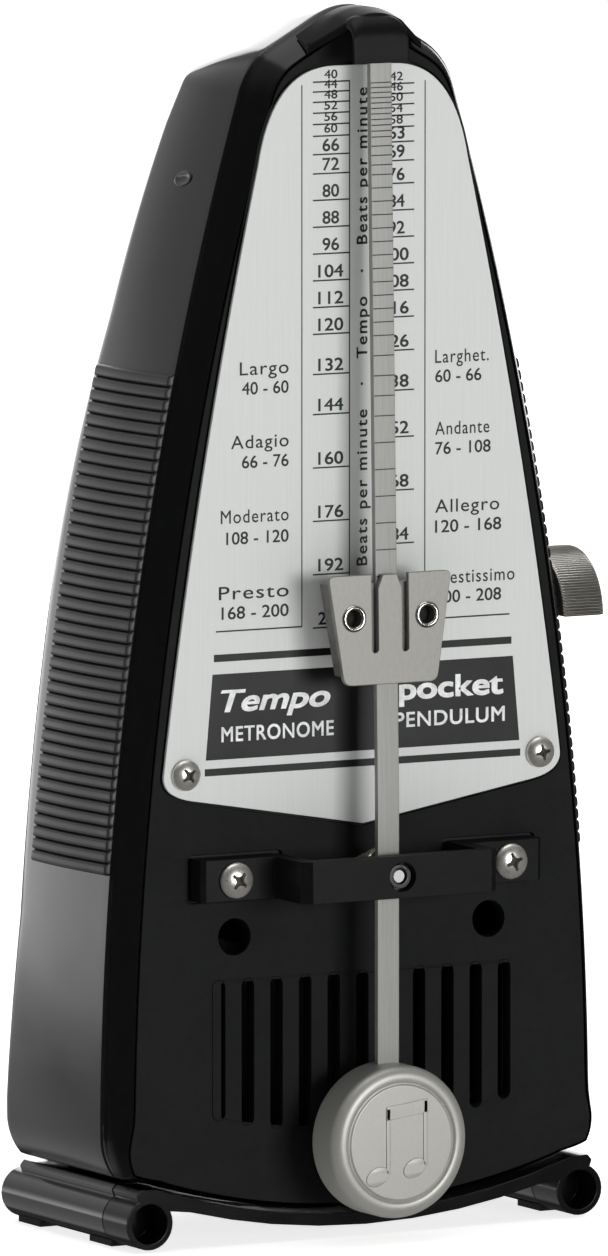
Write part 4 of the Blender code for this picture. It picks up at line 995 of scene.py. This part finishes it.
def build_tempo_weight():
    top, low = WEIGHT_TOP_Z, WEIGHT_LOW_Z
    front, back = WEIGHT_FRONT_Y, WEIGHT_FRONT_Y + 0.7
    half = [(0, low), (5.75, low)]
    half += bend((5.75, low), (6.85, low), (7.05, low + 1.1), 6)[1:]
    half += bend((8.95, top - 0.9), (9.1, top), (8.2, top), 6)
    half += [(2.72, top)]
    half += [(2.72, 77.4)]
    half += arc((2.24, 77.4), 0.48, 0, -180, 8)[1:]
    half += [(1.76, 85.2), (1.0, top - 0.1), (0, top - 0.1)]
    outline = mirrored(half)
    holes = [arc((side * RIVET_X, RIVET_Z), 1.15, 0, 360, 32)[:-1] for side, _ in SIDES]
    mesh = leant(plate_mesh([outline, *holes], front, back, 0.1, 2))
    face = "tempo_weight_face"
    piece("tempo_weight_plate", mesh, WEIGHT_NICKEL, "tempo_weight", "satin_nickel", face, sharp=12)
    for side, word in SIDES:
        profile = []
        for k in range(13):
            t = math.pi * k / 12
            profile.append((1.42 - 0.34 * math.cos(t), front - 0.33 * math.sin(t)))
        profile = profile[::-1]
        profile += [(1.02, front + 2.9), (1.14, front + 2.9), (1.14, front + 0.02)]
        centre = (side * RIVET_X, RIVET_Z)
        ring = leant(turned_mesh(profile, "Y", centre, 48))
        name = f"tempo_rivet_{word}"
        piece(f"{name}_eyelet", ring, BRIGHT_NICKEL, "tempo_weight", "bright_nickel", name, sharp=60)
        # A dark disc inside the eyelet's hole stands for the shade in the bore: painted shade.
        disc = [(0, front + 1.4), (1.05, front + 1.4), (1.05, front + 2.4), (0, front + 2.4)]
        core = leant(turned_mesh(disc, "Y", centre, 32))
        piece(f"{name}_bore_shade", core, SHADE_BLACK, "tempo_weight", "cast_zinc")


# ------------------------------------------------------------------------ key


def build_key():
    """A half-round grip, knurled along its round side."""
    inner, outer, flat = KEY_INNER_X, KEY_OUTER_X, KEY_FLAT_Z
    stations = [(inner, 0.45), (inner + 0.12, 0.2), (inner + 0.4, 0.03), (inner + 0.55, 0.0)]
    stations += [(outer - 0.55, 0.0), (outer - 0.3, 0.05), (outer - 0.1, 0.18), (outer, 0.42)]
    per_ridge = 6
    steps = KEY_RIDGES * per_ridge
    shape = bmesh.new()
    rings = []
    for x, inset in stations:
        depth = 0.0 if inset > 0.1 else KEY_RIDGE_DEPTH
        foot = flat + inset * 0.6
        ring = []
        for k in range(steps + 1):
            angle = math.pi * k / steps
            wave = abs(math.sin(math.pi * k / per_ridge))
            r = KEY_RADIUS - inset - depth * (1 - wave)
            y, z = KEY_PLACE[0] + r * math.cos(angle), foot + r * math.sin(angle)
            ring.append(shape.verts.new(at(x, y, z)))
        ring.append(shape.verts.new(at(x, KEY_PLACE[0] - KEY_RADIUS + inset + 0.3, foot - 0.0001)))
        rings.append(ring)
    capped(shape, rings)
    mesh = mesh_from(shape, "winding_key_grip")
    return piece("winding_key_grip", mesh, KEY_NICKEL, "winding", "satin_nickel", "winding_key", sharp=40)


# ---------------------------------------------------------------- whole thing


build_housing()
build_mould_mark()
for side, word in SIDES:
    build_ribs(side, word)
build_front_frame()
build_front_panel()
build_scale_plate()
# The base front uses the darker copy of the gloss black: painted shade.
refined("base_front", SHADED_BAND_BLACK, 0.22, 3)
refined("base_rear", GLOSS_BLACK, 0.22, 3)
build_hood()
refined("pendulum_bridge", FITTING_BLACK, 0.55, 5, 40)
refined("key_collar", FITTING_BLACK, 0.15, 2)
for side, word in SIDES:
    turn = 38 if side < 0 else 12
    build_screw(f"scale_screw_{word}", side * PLATE_SCREW[0], PLATE_SCREW[1], -0.35, 2.05, 1.2, turn)
    turn = 52 if side < 0 else 20
    build_screw(f"bridge_screw_{word}", side * BRIDGE_SCREW_X, PIVOT_Z, -3.05, 2.35, 1.3, turn)
refined("pendulum_rod", ROD_STEEL, 0.12, 2)
build_rod_marks()
build_counterweight()
build_tempo_weight()
refined("tempo_weight_body", CAST_ZINC, 0.25, 3)
refined("pendulum_hub", WARM_NICKEL, 0.12, 2)
refined("bridge_bush", DARK_STEEL, 0.1, 2)
build_key()

SLOT_MATERIAL = {
    "gloss_black": GLOSS_BLACK,
    "matte_black": MATTE_BLACK,
    "scale_aluminium": ALUMINIUM,
    "satin_steel": ROD_STEEL,
    "satin_nickel": SATIN_NICKEL,
    "bright_nickel": BRIGHT_NICKEL,
    "cast_zinc": CAST_ZINC,
    "brass": BRASS,
    "steel": STEEL,
    "rubber": RUBBER,
}
for node, obj in frame["nodes"].items():
    obj.data.materials.clear()
    obj.data.materials.append(SLOT_MATERIAL[SLOT_OF[node]])


# ---------------------------------------------------------------------- stage


def emission_material(name, strength):
    made = bpy.data.materials.new(name)
    made.use_nodes = True
    tree = made.node_tree
    tree.nodes.clear()
    out = tree.nodes.new("ShaderNodeOutputMaterial")
    glow = tree.nodes.new("ShaderNodeEmission")
    glow.inputs["Color"].default_value = (1, 1, 1, 1)
    glow.inputs["Strength"].default_value = strength
    tree.links.new(glow.outputs["Emission"], out.inputs["Surface"])
    return made


def only_camera_sees(obj):
    obj.visible_diffuse = False
    obj.visible_glossy = False
    obj.visible_transmission = False
    obj.visible_volume_scatter = False
    obj.visible_shadow = False


def build_stage():
    shape = bmesh.new()
    bmesh.ops.create_circle(shape, cap_ends=True, segments=96, radius=6.0)
    floor = bpy.data.objects.new("floor", mesh_from(shape, "floor", recalculate=False))
    bpy.context.scene.collection.objects.link(floor)
    made, tree, shader = shader_nodes("floor_white", (0.86, 0.86, 0.86), 0.9)
    shader.inputs["Emission Color"].default_value = (1, 1, 1, 1)
    shader.inputs["Emission Strength"].default_value = 0.78
    cloud = object_noise(tree, 6, detail=2)
    tree.links.new(tinted(tree, cloud, (0.85, 0.85, 0.85), (0.87, 0.87, 0.87)), shader.inputs["Base Color"])
    floor.data.materials.append(made)
    floor.visible_glossy = False
    shape = bmesh.new()
    bmesh.ops.create_uvsphere(shape, u_segments=48, v_segments=24, radius=7.0)
    dome = bpy.data.objects.new("backdrop", mesh_from(shape, "backdrop", recalculate=False))
    bpy.context.scene.collection.objects.link(dome)
    dome.data.materials.append(emission_material("backdrop_white", 1.0))
    only_camera_sees(dome)


def build_world():
    """Soft surroundings: dim in front, a broad bright field behind and to the left, and a dim floor."""
    world = bpy.data.worlds.new("studio")
    bpy.context.scene.world = world
    world.use_nodes = True
    tree = world.node_tree
    tree.nodes.clear()
    out = tree.nodes.new("ShaderNodeOutputWorld")
    back = tree.nodes.new("ShaderNodeBackground")
    coord = tree.nodes.new("ShaderNodeTexCoord")
    tree.links.new(back.outputs["Background"], out.inputs["Surface"])

    def math_node(operation, first, second):
        node = tree.nodes.new("ShaderNodeMath")
        node.operation = operation
        for socket, value in zip(node.inputs, (first, second)):
            if isinstance(value, (int, float)):
                socket.default_value = value
            else:
                tree.links.new(value, socket)
        return node.outputs[0]

    def facing(direction, start, end):
        """0 to 1 as a direction turns towards the given one; start and end are cosines."""
        dot = tree.nodes.new("ShaderNodeVectorMath")
        dot.operation = "DOT_PRODUCT"
        dot.inputs[1].default_value = Vector(direction).normalized()
        tree.links.new(coord.outputs["Generated"], dot.inputs[0])
        ramp = tree.nodes.new("ShaderNodeMapRange")
        ramp.interpolation_type = "SMOOTHSTEP"
        ramp.inputs["From Min"].default_value = start
        ramp.inputs["From Max"].default_value = end
        tree.links.new(dot.outputs["Value"], ramp.inputs["Value"])
        return ramp.outputs["Result"]

    behind = facing((-0.47, 0.88, 0.0), 0.76, 0.84)
    card = math_node("MULTIPLY", facing((0, 0, 1), -0.098, -0.086), facing((0, 0, -1), -0.17, 0.06))
    sky = facing((0, 0.3, 1), 0.3, 0.9)
    bright = math_node("MULTIPLY", behind, math_node("ADD", math_node("MULTIPLY", card, 1.5), 0.45))
    roof = math_node("MULTIPLY", sky, 0.36)
    total = math_node("ADD", math_node("ADD", bright, roof), 0.05)
    tree.links.new(total, back.inputs["Strength"])
    back.inputs["Color"].default_value = (1, 1, 1, 1)


def area_light(name, place, target, size, power, size_y=None):
    light = bpy.data.lights.new(name, "AREA")
    light.shape = "RECTANGLE"
    light.size = size
    light.size_y = size_y or size
    light.energy = power
    obj = bpy.data.objects.new(name, light)
    bpy.context.scene.collection.objects.link(obj)
    obj.location = place
    obj.rotation_euler = (Vector(target) - Vector(place)).to_track_quat("-Z", "Y").to_euler()
    return obj


def build_lights():
    middle = at(0, 10, 80)
    area_light("key", middle + Vector((0.26, -1.1, 0.02)), middle, 0.46, 6.2)
    area_light("overhead", middle + Vector((0.0, 0.05, 1.1)), middle, 0.9, 4.0)
    area_light("back_fill", middle + Vector((0.5, 1.1, 0.3)), middle, 0.8, 5.0)


def build_camera():
    """The camera is left of the front, a little above, far away with a long lens."""
    side, rise = math.radians(29.14), 0.1113
    back = Vector((-math.sin(side) * math.cos(rise), -math.cos(side) * math.cos(rise), math.sin(rise)))
    target = at(2.516, 20.0, 77.226)
    lens = bpy.data.cameras.new("camera")
    camera = bpy.data.objects.new("camera", lens)
    bpy.context.scene.collection.objects.link(camera)
    lens.sensor_width = 36.0
    lens.lens = 36.0 * 16165.0 / 1256.0
    lens.clip_start, lens.clip_end = 0.05, 50.0
    camera.location = target + back * 2.1115
    camera.rotation_euler = (-back).to_track_quat("-Z", "Y").to_euler()
    bpy.context.scene.camera = camera


build_stage()
build_world()
build_lights()
build_camera()
view = bpy.context.scene.view_settings
view.view_transform = "Standard"
view.look = "None"
